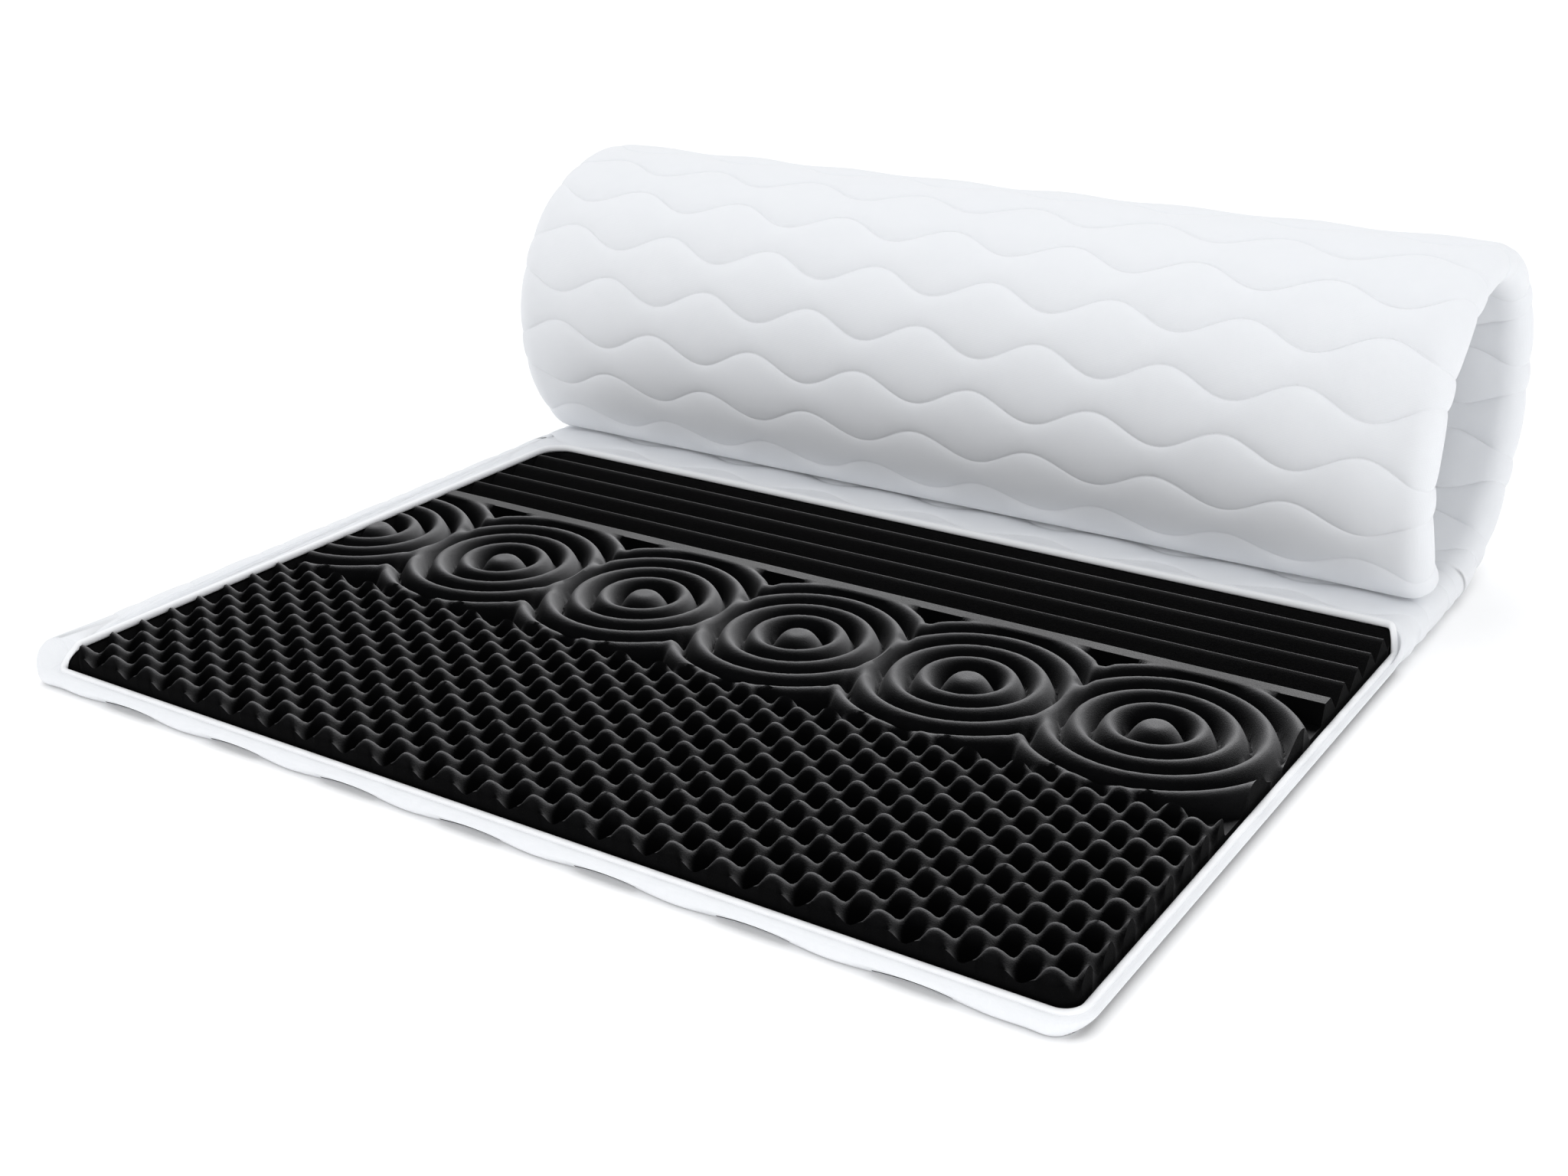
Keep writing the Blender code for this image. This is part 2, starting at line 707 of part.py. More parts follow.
def ring_cell(skin, centre_x, half):
    """One set of rings, out to the borders of its own stretch of the zone."""
    spokes = []
    for turn in ring_turns(half):
        across, along = math.cos(turn), math.sin(turn)
        to_side = RING_SPACING / 2 / max(abs(across), 1e-9)
        to_end = RING_HALF_LENGTH / max(abs(along), 1e-9)
        border = min(to_side, to_end)
        spoke = [skin.point((centre_x, RING_Y, RING_CREST))]
        for radius in RING_RADII + (border,):
            radius = min(radius, border)
            on_end = to_end - radius < 1e-6
            z = RING_VALLEY if on_end else ring_height(radius)
            spoke.append(skin.point((centre_x + radius * across, RING_Y + radius * along, z)))
        spokes.append(spoke)
    pairs = list(zip(spokes, spokes[1:])) + ([] if half else [(spokes[-1], spokes[0])])
    for first, second in pairs:
        for n in range(1, len(first)):
            skin.face([first[n - 1], first[n], second[n]])
            skin.face([first[n - 1], second[n], second[n - 1]])
    return spokes


def zone_border(skin, y):
    """Points along one end of the ring zone, from left to right."""
    found = []
    for index, place in enumerate(skin.points):
        if abs(place[1] - y) < 1e-6:
            found.append((place[0], index))
    return sorted(found)


def ring_zone(skin):
    """The sets of rings, and the plain run-outs to the core's side faces."""
    for n in range(RING_SETS):
        ring_cell(skin, FIRST_RING_X + n * RING_SPACING, n == 0)
    last_x = FIRST_RING_X + (RING_SETS - 0.5) * RING_SPACING
    for seam_x, face_x in ((FIRST_RING_X, CORE_LEFT), (last_x, CORE_RIGHT)):
        seam = ring_seam(skin, seam_x)
        face = [(y, skin.point((face_x, y, skin.points[i][2]))) for y, i in seam]
        skin.strip(seam, face)


def ring_seam(skin, x):
    """Points of the ring zone on one line from front to back."""
    found = []
    for index, place in enumerate(skin.points):
        if abs(place[0] - x) < 1e-6 and abs(place[1] - RING_Y) < RING_HALF_LENGTH + 1e-6:
            found.append((place[1], index))
    return sorted(found)


def ridge_rows():
    """The ridges' section as (y, z), from the ring zone to the core's back face."""
    rows = [(RIDGE_START_Y + BAND_STEP, RIDGE_CREST)]
    for n in range(RIDGES):
        crest = FIRST_RIDGE_Y + n * RIDGE_PITCH
        rows += [(crest, RIDGE_CREST), (crest + RIDGE_PITCH / 2, RIDGE_VALLEY)]
    slope = (RIDGE_CREST - RIDGE_VALLEY) / (RIDGE_PITCH / 2)
    valley_y = rows[-1][0]
    for y in CORE_CORNER_YS + (CORE_BACK,):
        rows.append((y, RIDGE_VALLEY + slope * abs(y - valley_y)))
    return sorted(rows)


def ridge_zone(skin, border):
    previous = border
    for y, z in ridge_rows():
        steps = CORE_CORNER_STEPS if y == CORE_BACK else CORE_CORNER_STEPS[:1]
        xs = [CORE_LEFT + step for step in steps]
        xs += [CORE_RIGHT - step for step in reversed(steps)]
        places = [tucked(x, y) for x in xs]
        row = [(place[0], skin.point((place[0], place[1], z))) for place in places]
        skin.strip(previous, row)
        previous = row
    return previous


def core_outline(skin, front, back):
    """The top's outline: front row, right side, back row, left side."""
    right = core_side(skin, CORE_RIGHT, front[-1][1], back[-1][1])
    left = core_side(skin, CORE_LEFT, front[0][1], back[0][1])
    return [c for _, c in front] + right + [c for _, c in reversed(back)] + left[::-1]


def core_side(skin, x, first, last):
    """Points of one side's outline between its front and back rows."""
    uses = {}
    for face in skin.faces:
        for n, corner in enumerate(face):
            edge = frozenset((face[n - 1], corner))
            uses[edge] = uses.get(edge, 0) + 1
    open_points = {c for edge, count in uses.items() if count == 1 for c in edge}
    middle_x = (CORE_LEFT + CORE_RIGHT) / 2
    side = [c for c in open_points if (skin.points[c][0] > middle_x) == (x > middle_x)]
    side = [c for c in side if skin.points[first][1] < skin.points[c][1] < skin.points[last][1]]
    side = [c for c in side if abs(skin.points[c][0] - x) < max(CORE_CORNERS)]
    return sorted(side, key=lambda c: skin.points[c][1])


def make_core():
    """The foam core: bumps in front, rings in the middle, ridges behind."""
    skin = Skin()
    egg_rows = egg_zone(skin)
    ring_zone(skin)
    skin.strip(egg_rows[-1], zone_border(skin, EGG_END_Y))
    back = ridge_zone(skin, zone_border(skin, RIDGE_START_Y))
    outline = core_outline(skin, egg_rows[0], back)
    base = [skin.point((skin.points[c][0], skin.points[c][1], CORE_BOTTOM)) for c in outline]
    skin.band(outline, base)
    skin.face(base)
    return skin.make("foam_core", CORE_COLOUR, CORE_ROUGHNESS)


def centre(bodies):
    """Puts the middle of the whole over the origin and its lowest point at z = 0."""
    places = [vertex.co for body in bodies for vertex in body.data.vertices]
    shift = [-(min(p[k] for p in places) + max(p[k] for p in places)) / 2 for k in (0, 1)]
    shift.append(-min(p[2] for p in places))
    for body in bodies:
        for vertex in body.data.vertices:
            for k in range(3):
                vertex.co[k] += shift[k]


def main():
    for old in list(bpy.data.objects):
        bpy.data.objects.remove(old, do_unlink=True)
    centre([make_cover(), make_piping(), make_core()])


main()
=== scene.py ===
"""Studio view of a quilted mattress topper whose far half is rolled up and over.

The cover, the profiled foam core and the bead round the window are each built again at
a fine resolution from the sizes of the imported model, and stand in for its nodes.  The
stitches and the foam's profile come from geometry nodes.  Sizes are in metres, +Z up,
front towards -Y.  Shapes are made in the sketch frame and moved by SHIFT at the end.
"""
import logging
import math
from dataclasses import dataclass, field
from enum import Enum

import bmesh
import bpy
import numpy as np
from mathutils import Matrix, Vector

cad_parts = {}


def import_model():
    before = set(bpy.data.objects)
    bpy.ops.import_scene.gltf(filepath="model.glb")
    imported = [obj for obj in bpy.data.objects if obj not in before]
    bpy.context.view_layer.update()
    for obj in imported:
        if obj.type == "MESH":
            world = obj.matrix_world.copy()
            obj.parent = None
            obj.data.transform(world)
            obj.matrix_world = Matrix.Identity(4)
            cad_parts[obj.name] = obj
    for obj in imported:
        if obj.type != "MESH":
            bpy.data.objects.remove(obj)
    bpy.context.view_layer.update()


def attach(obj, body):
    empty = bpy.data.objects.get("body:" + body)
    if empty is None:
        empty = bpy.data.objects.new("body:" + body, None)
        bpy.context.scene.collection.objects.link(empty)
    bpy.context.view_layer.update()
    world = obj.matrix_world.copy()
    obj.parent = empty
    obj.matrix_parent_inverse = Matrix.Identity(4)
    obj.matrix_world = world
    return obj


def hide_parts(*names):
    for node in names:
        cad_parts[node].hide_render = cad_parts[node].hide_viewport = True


LOG = logging.getLogger("topper")
SHIFT = (-0.0035, 0.0003, 0.0)
BODY = "root"


class Side(Enum):
    """The two faces of the folded slab."""

    OVER = -1  # top of the flat half, inside of the roll
    UNDER = 1  # outside of the roll


class Zone(Enum):
    """The three profiles of the foam core, from the front to the back."""

    BUMPS = "bumps"
    RINGS = "rings"
    RIDGES = "ridges"


# ---- small helpers ----------------------------------------------------------------------


def ease(value: np.ndarray | float) -> np.ndarray | float:
    """A smooth step from 0 to 1 over the same range."""
    value = np.clip(value, 0.0, 1.0)
    return value * value * (3 - 2 * value)


def smooth_chain(knots: np.ndarray, cuts: int) -> np.ndarray:
    """Runs a smooth curve through knots.

    Args:
        knots: Rows of numbers that the curve passes through.
        cuts: How many steps each stretch between two knots gets.

    Returns:
        The rows of the finer chain, the knots among them.
    """
    padded = np.vstack([2 * knots[0] - knots[1], knots, 2 * knots[-1] - knots[-2]])
    found = []
    for n in range(len(knots) - 1):
        a, b, c, d = padded[n:n + 4]
        for share in np.arange(cuts) / cuts:
            found.append(0.5 * (2 * b + (c - a) * share
                                + (2 * a - 5 * b + 4 * c - d) * share ** 2
                                + (3 * b - a - 3 * c + d) * share ** 3))
    return np.array(found + [knots[-1]])


def ripple(places: np.ndarray, size: float, seed: int) -> np.ndarray:
    """Smooth value noise.

    Args:
        places: Points, one in a row.
        size: Width of a ripple.
        seed: Picks the pattern.

    Returns:
        One value from -1 to 1 for each point.
    """
    dice = np.random.default_rng(seed)
    total = np.zeros(len(places))
    for _ in range(7):
        way = dice.normal(size=3)
        way /= np.linalg.norm(way) * size * dice.uniform(0.7, 1.5)
        total += np.sin(2 * np.pi * (places @ way) + dice.uniform(0, 2 * np.pi))
    return total / 7


def inside_path(places: np.ndarray, path: np.ndarray) -> np.ndarray:
    """Whether points lie inside a closed path, seen from above.

    Args:
        places: Points, one in a row.
        path: The path's corners, in order.

    Returns:
        One truth value for each point.
    """
    found = np.zeros(len(places), dtype=bool)
    for a, b in zip(path, np.roll(path, -1, axis=0)):
        crosses = (a[1] > places[:, 1]) != (b[1] > places[:, 1])
        if a[1] != b[1]:
            reach = a[0] + (places[:, 1] - a[1]) / (b[1] - a[1]) * (b[0] - a[0])
            found ^= crosses & (places[:, 0] < reach)
    return found


class Draft:
    """Points and faces of one closed body while it is put together."""

    def __init__(self) -> None:
        """Starts with no points."""
        self.points: list[np.ndarray] = []
        self.count = 0
        self.faces: list[list[int]] = []

    def add(self, places: np.ndarray) -> np.ndarray:
        """Adds points.

        Args:
            places: Points in any layout, with x, y and z last.

        Returns:
            Their numbers in the same layout.
        """
        flat = np.asarray(places, dtype=float).reshape(-1, 3)
        index = np.arange(self.count, self.count + len(flat))
        self.points.append(flat)
        self.count += len(flat)
        return index.reshape(np.shape(places)[:-1])

    def grid(self, index: np.ndarray, around: bool = False) -> None:
        """Skins a grid of points.

        Args:
            index: Numbers of the points, in rows.
            around: Whether the last row meets the first.
        """
        if around:
            index = np.vstack([index, index[:1]])
        quads = np.stack([index[:-1, :-1], index[1:, :-1], index[1:, 1:], index[:-1, 1:]], -1)
        self.faces += quads.reshape(-1, 4).tolist()

    def mesh(self, name: str, sharp_deg: float | None = None) -> bpy.types.Mesh:
        """Closes the body up.

        Args:
            name: What the mesh is called.
            sharp_deg: Edges that turn more than this stay sharp.

        Returns:
            A mesh with its doubles merged and its faces outwards, moved by SHIFT.
        """
        made = bpy.data.meshes.new(name)
        made.from_pydata((np.vstack(self.points) + SHIFT).tolist(), [], self.faces)
        body = bmesh.new()
        body.from_mesh(made)
        bmesh.ops.remove_doubles(body, verts=body.verts[:], dist=2e-6)
        bmesh.ops.dissolve_degenerate(body, edges=body.edges[:], dist=1e-7)
        bmesh.ops.triangulate(body, faces=[f for f in body.faces if len(f.verts) > 4])
        bmesh.ops.recalc_face_normals(body, faces=body.faces[:])
        if body.calc_volume(signed=True) < 0:
            bmesh.ops.reverse_faces(body, faces=body.faces[:])
        loose = sum(1 for e in body.edges if not e.is_manifold)
        if loose:
            LOG.warning("%s has %d open edges", name, loose)
        body.to_mesh(made)
        body.free()
        made.shade_smooth()
        if sharp_deg is not None:
            made.set_sharp_from_angle(angle=math.radians(sharp_deg))
        return made


def linked(name: str, mesh: bpy.types.Mesh) -> bpy.types.Object:
    """Puts a mesh into the scene as an object of that name."""
    made = bpy.data.objects.new(name, mesh)
    bpy.context.scene.collection.objects.link(made)
    return made


# ---- shader groups and finishes -----------------------------------------------------------


Value = bpy.types.NodeSocket | float


class Wires:
    """Adds nodes to a tree with few words."""

    def __init__(self, tree: bpy.types.NodeTree) -> None:
        """Takes the tree to fill."""
        self.tree = tree

    def node(self, kind: str, settings: dict | None = None, **inputs: object) -> bpy.types.Node:
        """Adds a node.

        Args:
            kind: Blender's name of its type.
            settings: Properties to set on it.
            inputs: Sockets by name, with _ for a space, and a value or a socket to link.

        Returns:
            The node.
        """
        made = self.tree.nodes.new(kind)
        for key, value in (settings or {}).items():
            setattr(made, key, value)
        for key, value in inputs.items():
            self.feed(made.inputs[key.replace("_", " ")], value)
        return made

    def feed(self, socket: bpy.types.NodeSocket, value: object) -> None:
        """Links or sets one input."""
        if isinstance(value, bpy.types.NodeSocket):
            self.tree.links.new(value, socket)
        else:
            socket.default_value = value

    def math(self, operation: str, *values: Value) -> bpy.types.NodeSocket:
        """One math node with its operands; returns its result."""
        kind = "ShaderNodeMath"
        made = self.tree.nodes.new(kind)
        made.operation = operation
        for socket, value in zip(made.inputs, values):
            self.feed(socket, value)
        return made.outputs[0]

    def remap(self, value: Value, low: float, high: float, to_low: float = 0.0,
              to_high: float = 1.0) -> bpy.types.NodeSocket:
        """Maps a range smoothly onto another."""
        made = self.node("ShaderNodeMapRange", {"interpolation_type": "SMOOTHSTEP"})
        for key, number in (("Value", value), ("From Min", low), ("From Max", high),
                            ("To Min", to_low), ("To Max", to_high)):
            self.feed(made.inputs[key], number)
        return made.outputs[0]


def shader_group(name: str, inputs: dict[str, float], outputs: tuple[str, ...]) -> tuple[
        bpy.types.NodeTree, bpy.types.Node, bpy.types.Node]:
    """Starts a shader node group.

    Args:
        name: What it is called.
        inputs: Its numbers, with their usual values.
        outputs: Its results.

    Returns:
        The tree, its input node and its output node.
    """
    tree = bpy.data.node_groups.new(name, "ShaderNodeTree")
    tree.interface.new_socket("Vector", in_out="INPUT", socket_type="NodeSocketVector")
    for key, value in inputs.items():
        made = tree.interface.new_socket(key, in_out="INPUT", socket_type="NodeSocketFloat")
        made.default_value = value
    for key in outputs:
        tree.interface.new_socket(key, in_out="OUTPUT", socket_type="NodeSocketFloat")
    return tree, tree.nodes.new("NodeGroupInput"), tree.nodes.new("NodeGroupOutput")


def knit_group() -> bpy.types.NodeTree:
    """Rows of small loops, as a jersey knit shows them: a height and a shade."""
    tree, start, end = shader_group("knit", {"Loop": 0.0016, "Course": 0.0012},
                                    ("Height", "Shade"))
    w = Wires(tree)
    parts = w.node("ShaderNodeSeparateXYZ", Vector=start.outputs["Vector"])
    across = w.math("DIVIDE", parts.outputs[0], start.outputs["Loop"])
    along = w.math("DIVIDE", parts.outputs[1], start.outputs["Course"])
    half = w.math("MULTIPLY", w.math("PINGPONG", across, 0.5), 2.0)
    slanted = w.math("ADD", along, w.math("MULTIPLY", half, 0.6))
    loops = w.math("ABSOLUTE", w.math("SINE", w.math("MULTIPLY", slanted, math.pi)))
    wales = w.math("SINE", w.math("MULTIPLY", half, math.pi))
    height = w.math("MULTIPLY", w.math("POWER", loops, 0.7), w.math("POWER", wales, 0.5))
    noise = w.node("ShaderNodeTexNoise", Vector=start.outputs["Vector"], Scale=900.0, Detail=2.0)
    fuzz = w.math("MULTIPLY", noise.outputs["Fac"], 0.5)
    w.feed(end.inputs["Height"], w.math("ADD", height, fuzz))
    # darker in the hollows between loops: painted shade
    w.feed(end.inputs["Shade"], w.remap(height, 0.0, 0.8, 0.93, 1.0))
    return tree


def grain_group() -> bpy.types.NodeTree:
    """Open foam cells of two sizes: a height and specks of light."""
    tree, start, end = shader_group("cell_grain", {"Cell": 0.0011}, ("Height", "Speck"))
    w = Wires(tree)
    scale = w.math("DIVIDE", 1.0, start.outputs["Cell"])
    cells = w.node("ShaderNodeTexVoronoi", {"feature": "F1"}, Vector=start.outputs["Vector"],
                   Scale=scale)
    fine = w.node("ShaderNodeTexNoise", Vector=start.outputs["Vector"],
                  Scale=w.math("MULTIPLY", scale, 2.2), Detail=3.0, Roughness=0.65)
    height = w.math("ADD", cells.outputs["Distance"], fine.outputs["Fac"])
    w.feed(end.inputs["Height"], height)
    w.feed(end.inputs["Speck"], w.remap(height, 0.7, 1.5))
    return tree


def drift_group() -> bpy.types.NodeTree:
    """Slow unevenness over a surface: two masks of different sizes."""
    tree, start, end = shader_group("drift", {"Broad": 0.22, "Small": 0.018}, ("Broad", "Small"))
    w = Wires(tree)
    for key in ("Broad", "Small"):
        scale = w.math("DIVIDE", 1.0, start.outputs[key])
        noise = w.node("ShaderNodeTexNoise", Vector=start.outputs["Vector"], Scale=scale,
                       Detail=2.0, Roughness=0.5)
        w.feed(end.inputs[key], w.remap(noise.outputs["Fac"], 0.3, 0.7))
    return tree


@dataclass(frozen=True)
class Finish:
    """A finish with its own material; the kinds below fill in the nodes."""

    name: str
    colour: tuple[float, float, float]
    roughness: float = 0.8
    sheen: float = 0.0
    specular: float = 0.3
    sheen_roughness: float = 0.45

    def material(self) -> tuple[bpy.types.Material, Wires, bpy.types.Node]:
        """Starts the material.

        Returns:
            The material, its wires and its Principled shader, with constants set.
        """
        made = bpy.data.materials.new(self.name)
        made.use_nodes = True
        shader = made.node_tree.nodes["Principled BSDF"]
        shader.inputs["Base Color"].default_value = (*self.colour, 1.0)
        shader.inputs["Roughness"].default_value = self.roughness
        shader.inputs["Sheen Weight"].default_value = self.sheen
        shader.inputs["Sheen Roughness"].default_value = self.sheen_roughness
        shader.inputs["Specular IOR Level"].default_value = self.specular
        return made, Wires(made.node_tree), shader

    def group(self, wires: Wires, name: str, vector: bpy.types.NodeSocket,
              **numbers: float) -> bpy.types.Node:
        """Places a shared effect in the material.

        Args:
            wires: The material's wires.
            name: The node group.
            vector: Where the pattern is read.
            numbers: Its inputs.

        Returns:
            The group node.
        """
        made = wires.tree.nodes.new("ShaderNodeGroup")
        made.node_tree = bpy.data.node_groups[name]
        wires.feed(made.inputs["Vector"], vector)
        for key, value in numbers.items():
            made.inputs[key].default_value = value
        return made

    def tinted(self, wires: Wires, factor: Value, low: tuple[float, float, float],
               high: tuple[float, float, float]) -> bpy.types.NodeSocket:
        """Mixes two colours by a factor; returns the colour."""
        made = wires.node("ShaderNodeMix", {"data_type": "RGBA"})
        wires.feed(made.inputs[0], factor)
        made.inputs[6].default_value = (*low, 1.0)
        made.inputs[7].default_value = (*high, 1.0)
        return made.outputs[2]

    def bumped(self, wires: Wires, shader: bpy.types.Node, height: Value, depth: float,
               strength: float) -> None:
        """Feeds a height into the shader's normal."""
        bump = wires.node("ShaderNodeBump", Height=height, Strength=strength, Distance=depth)
        wires.feed(shader.inputs["Normal"], bump.outputs["Normal"])

    def make(self) -> bpy.types.Material:
        """The finished material."""
        return self.material()[0]


@dataclass(frozen=True)
class KnitFinish(Finish):
    """Soft jersey knit, read on the cloth's own map."""

    # low colour: painted shade in the knit's hollows, and the darker side of its uneven tone
    shade: tuple[float, float, float] = (0.70, 0.73, 0.78)
    loop: float = 0.0017
    depth: float = 0.0004
    strength: float = 0.35
    map_name: str = "cloth"

    def make(self) -> bpy.types.Material:
        """The knit with its loops, fuzz and slight unevenness."""
        made, w, shader = self.material()
        cloth = w.node("ShaderNodeUVMap", {"uv_map": self.map_name}).outputs["UV"]
        place = w.node("ShaderNodeTexCoord").outputs["Object"]
        knit = self.group(w, "knit", cloth, Loop=self.loop, Course=self.loop * 0.75)
        drift = self.group(w, "drift", place, Broad=0.25, Small=0.02)
        mask = w.math("MULTIPLY", knit.outputs["Shade"],
                      w.remap(drift.outputs["Small"], 0.0, 1.0, 0.965, 1.0))
        mask = w.math("MULTIPLY", mask, w.remap(drift.outputs["Broad"], 0.0, 1.0, 0.97, 1.0))
        w.feed(shader.inputs["Base Color"], self.tinted(w, mask, self.shade, self.colour))
        w.feed(shader.inputs["Roughness"], w.remap(drift.outputs["Small"], 0.0, 1.0,
                                                   self.roughness - 0.06, self.roughness + 0.06))
        self.bumped(w, shader, knit.outputs["Height"], self.depth, self.strength)
        return made


@dataclass(frozen=True)
class FoamFinish(Finish):
    """Dark open-cell foam with a slight gloss on its skin."""

    # colour of the painted highlight laid on the crests and upward-facing faces
    crest: tuple[float, float, float] = (0.0150, 0.0150, 0.0158)
    cell: float = 0.0011
    strength: float = 0.5

    def make(self) -> bpy.types.Material:
        """The foam with its cells, specks and uneven gloss, with a painted highlight on its crests
        and upward faces.
        """
        made, w, shader = self.material()
        place = w.node("ShaderNodeTexCoord").outputs["Object"]
        grain = self.group(w, "cell_grain", place, Cell=self.cell)
        drift = self.group(w, "drift", place, Broad=0.15, Small=0.012)
        # painted highlight read from the mesh: a lighter colour on the profile's crests
        worn = w.node("ShaderNodeAttribute", {"attribute_name": "worn"}).outputs["Fac"]
        facing = w.node("ShaderNodeNewGeometry").outputs["Normal"]
        upward = w.node("ShaderNodeSeparateXYZ", Vector=facing).outputs[2]
        # the painted highlight is kept to upward-facing faces, where light from above falls
        worn = w.math("MULTIPLY", worn, w.remap(upward, 0.1, 0.5))
        speck = w.math("MULTIPLY_ADD", grain.outputs["Speck"], 0.25,
                       w.remap(drift.outputs["Small"], 0.0, 1.0, 0.65, 0.85))
        speck = w.math("MULTIPLY", speck, worn)
        w.feed(shader.inputs["Base Color"], self.tinted(w, speck, self.colour, self.crest))
        uneven = w.math("MULTIPLY_ADD", drift.outputs["Broad"], 0.06,
                        w.math("MULTIPLY", grain.outputs["Speck"], 0.08))
        w.feed(shader.inputs["Roughness"], w.math("ADD", uneven, self.roughness))
        self.bumped(w, shader, grain.outputs["Height"], 0.00035, self.strength)
        return made


@dataclass(frozen=True)
class ThreadFinish(Finish):
    """Twisted sewing thread."""

    twist: float = 0.0009

    def make(self) -> bpy.types.Material:
        """The thread with the slant of its plies."""
        made, w, shader = self.material()
        place = w.node("ShaderNodeTexCoord").outputs["Object"]
        parts = w.node("ShaderNodeSeparateXYZ", Vector=place)
        slant = w.math("ADD", parts.outputs[0], parts.outputs[2])
        ply = w.math("SINE", w.math("MULTIPLY", slant, 2 * math.pi / self.twist))
        drift = self.group(w, "drift", place, Broad=0.1, Small=0.01)
        mask = w.math("MULTIPLY", w.remap(ply, -1.0, 1.0, 0.8, 1.0),
                      w.remap(drift.outputs["Small"], 0.0, 1.0, 0.9, 1.0))
        # the thread is darker in the grooves between its plies: painted shade
        dull = tuple(part * 0.8 for part in self.colour)
        w.feed(shader.inputs["Base Color"], self.tinted(w, mask, dull, self.colour))
        self.bumped(w, shader, ply, 0.0001, 0.4)
        return made


KNIT = KnitFinish("cover_knit", (0.86, 0.875, 0.90), roughness=0.86, sheen=0.25, specular=0.18)
BINDING = KnitFinish("bead_binding", (0.92, 0.93, 0.945), roughness=0.72, sheen=0.2, specular=0.25,
                     shade=(0.80, 0.82, 0.86), loop=0.0011, depth=0.0002, strength=0.25)
THREAD = ThreadFinish("sewing_thread", (0.88, 0.89, 0.91), roughness=0.6, specular=0.3)
FOAM = FoamFinish("foam_black", (0.0045, 0.0045, 0.0048), roughness=0.75, specular=0.03)
# the window's inner walls: black foam that goes on under the bead, darkened further as painted shade
FOAM_AND_SHADE_WALL = FoamFinish("foam_wall", (0.0030, 0.0030, 0.0032), roughness=0.6, specular=0.03,
                    crest=(0.0050, 0.0050, 0.0054))


# ---- geometry node trees --------------------------------------------------------------------


class ShapeTree:
    """A geometry node tree with named inputs, applied to a mesh and then removed."""

    def __init__(self, name: str, sizes: dict[str, float]) -> None:
        """Starts the tree.

        Args:
            name: What it is called.
            sizes: Its inputs and their values.
        """
        self.sizes = sizes
        self.tree = bpy.data.node_groups.new(name, "GeometryNodeTree")
        face = self.tree.interface
        face.new_socket("Geometry", in_out="INPUT", socket_type="NodeSocketGeometry")
        for key, value in sizes.items():
            face.new_socket(key, in_out="INPUT", socket_type="NodeSocketFloat").default_value = value
        face.new_socket("Geometry", in_out="OUTPUT", socket_type="NodeSocketGeometry")
        self.wires = Wires(self.tree)
        self.start = self.tree.nodes.new("NodeGroupInput")
        self.end = self.tree.nodes.new("NodeGroupOutput")

    def size(self, key: str) -> bpy.types.NodeSocket:
        """The socket of one named input."""
        return self.start.outputs[key]

    def close(self, shape: bpy.types.NodeSocket, material: bpy.types.Material) -> None:
        """Ends the tree in real geometry of one material."""
        real = self.wires.node("GeometryNodeRealizeInstances", Geometry=shape)
        dressed = self.wires.node("GeometryNodeSetMaterial", Geometry=real.outputs[0],
                                  Material=material)
        self.wires.feed(self.end.inputs[0], dressed.outputs[0])

    def applied(self, name: str, base: bpy.types.Mesh) -> bpy.types.Object:
        """Runs the tree.

        Args:
            name: What the piece is called.
            base: The mesh that goes in.

        Returns:
            A plain mesh object with no modifier.
        """
        carrier = linked(name, base)
        modifier = carrier.modifiers.new(self.tree.name, "NODES")
        modifier.node_group = self.tree
        for item in self.tree.interface.items_tree:
            if item.in_out == "INPUT" and item.name in self.sizes:
                modifier[item.identifier] = self.sizes[item.name]
        bpy.context.view_layer.update()
        seen = carrier.evaluated_get(bpy.context.evaluated_depsgraph_get())
        mesh = bpy.data.meshes.new_from_object(seen)
        carrier.modifiers.clear()
        carrier.data = mesh
        mesh.name = name
        bpy.data.meshes.remove(base)
        return carrier


def stitch_tree(material: bpy.types.Material, pitch: float, length: float,
                thick: float) -> ShapeTree:
    """Small stitches set end to end along the edges of a mesh.

    Args:
        material: The thread's.
        pitch: From one stitch to the next.
        length: Of a stitch.
        thick: Of the thread.

    Returns:
        The tree, ready to be applied.
    """
    made = ShapeTree("stitches", {"Pitch": pitch, "Length": length, "Thick": thick})
    w = made.wires
    line = w.node("GeometryNodeMeshToCurve", Mesh=made.start.outputs["Geometry"])
    points = w.node("GeometryNodeCurveToPoints", {"mode": "LENGTH"}, Curve=line.outputs[0],
                    Length=made.size("Pitch"))
    ball = w.node("GeometryNodeMeshIcoSphere", Radius=0.5, Subdivisions=1)
    scale = w.node("ShaderNodeCombineXYZ", X=made.size("Thick"), Y=made.size("Thick"),
                   Z=made.size("Length"))
    stitch = w.node("GeometryNodeTransform", Geometry=ball.outputs[0], Scale=scale.outputs[0])
    smooth = w.node("GeometryNodeSetShadeSmooth", Geometry=stitch.outputs[0])
    turn = w.node("FunctionNodeAlignRotationToVector", {"axis": "Z"},
                  Vector=points.outputs["Tangent"])
    spread = w.node("GeometryNodeInstanceOnPoints", Points=points.outputs[0],
                    Instance=smooth.outputs[0], Rotation=turn.outputs[0])
    made.close(spread.outputs[0], material)
    return made


# ---- the folded slab -----------------------------------------------------------------------


@dataclass(frozen=True)
class Row:
    """One row of points across the slab, on a sewn line or between two of them."""

    base: float  # place along the slab's middle, from the foot of the loop
    swing: float = 0.0  # how far it waves
    spread: float = 0.0  # how its channel widens and narrows
    puff: float = 1.0  # 0 on a sewn line


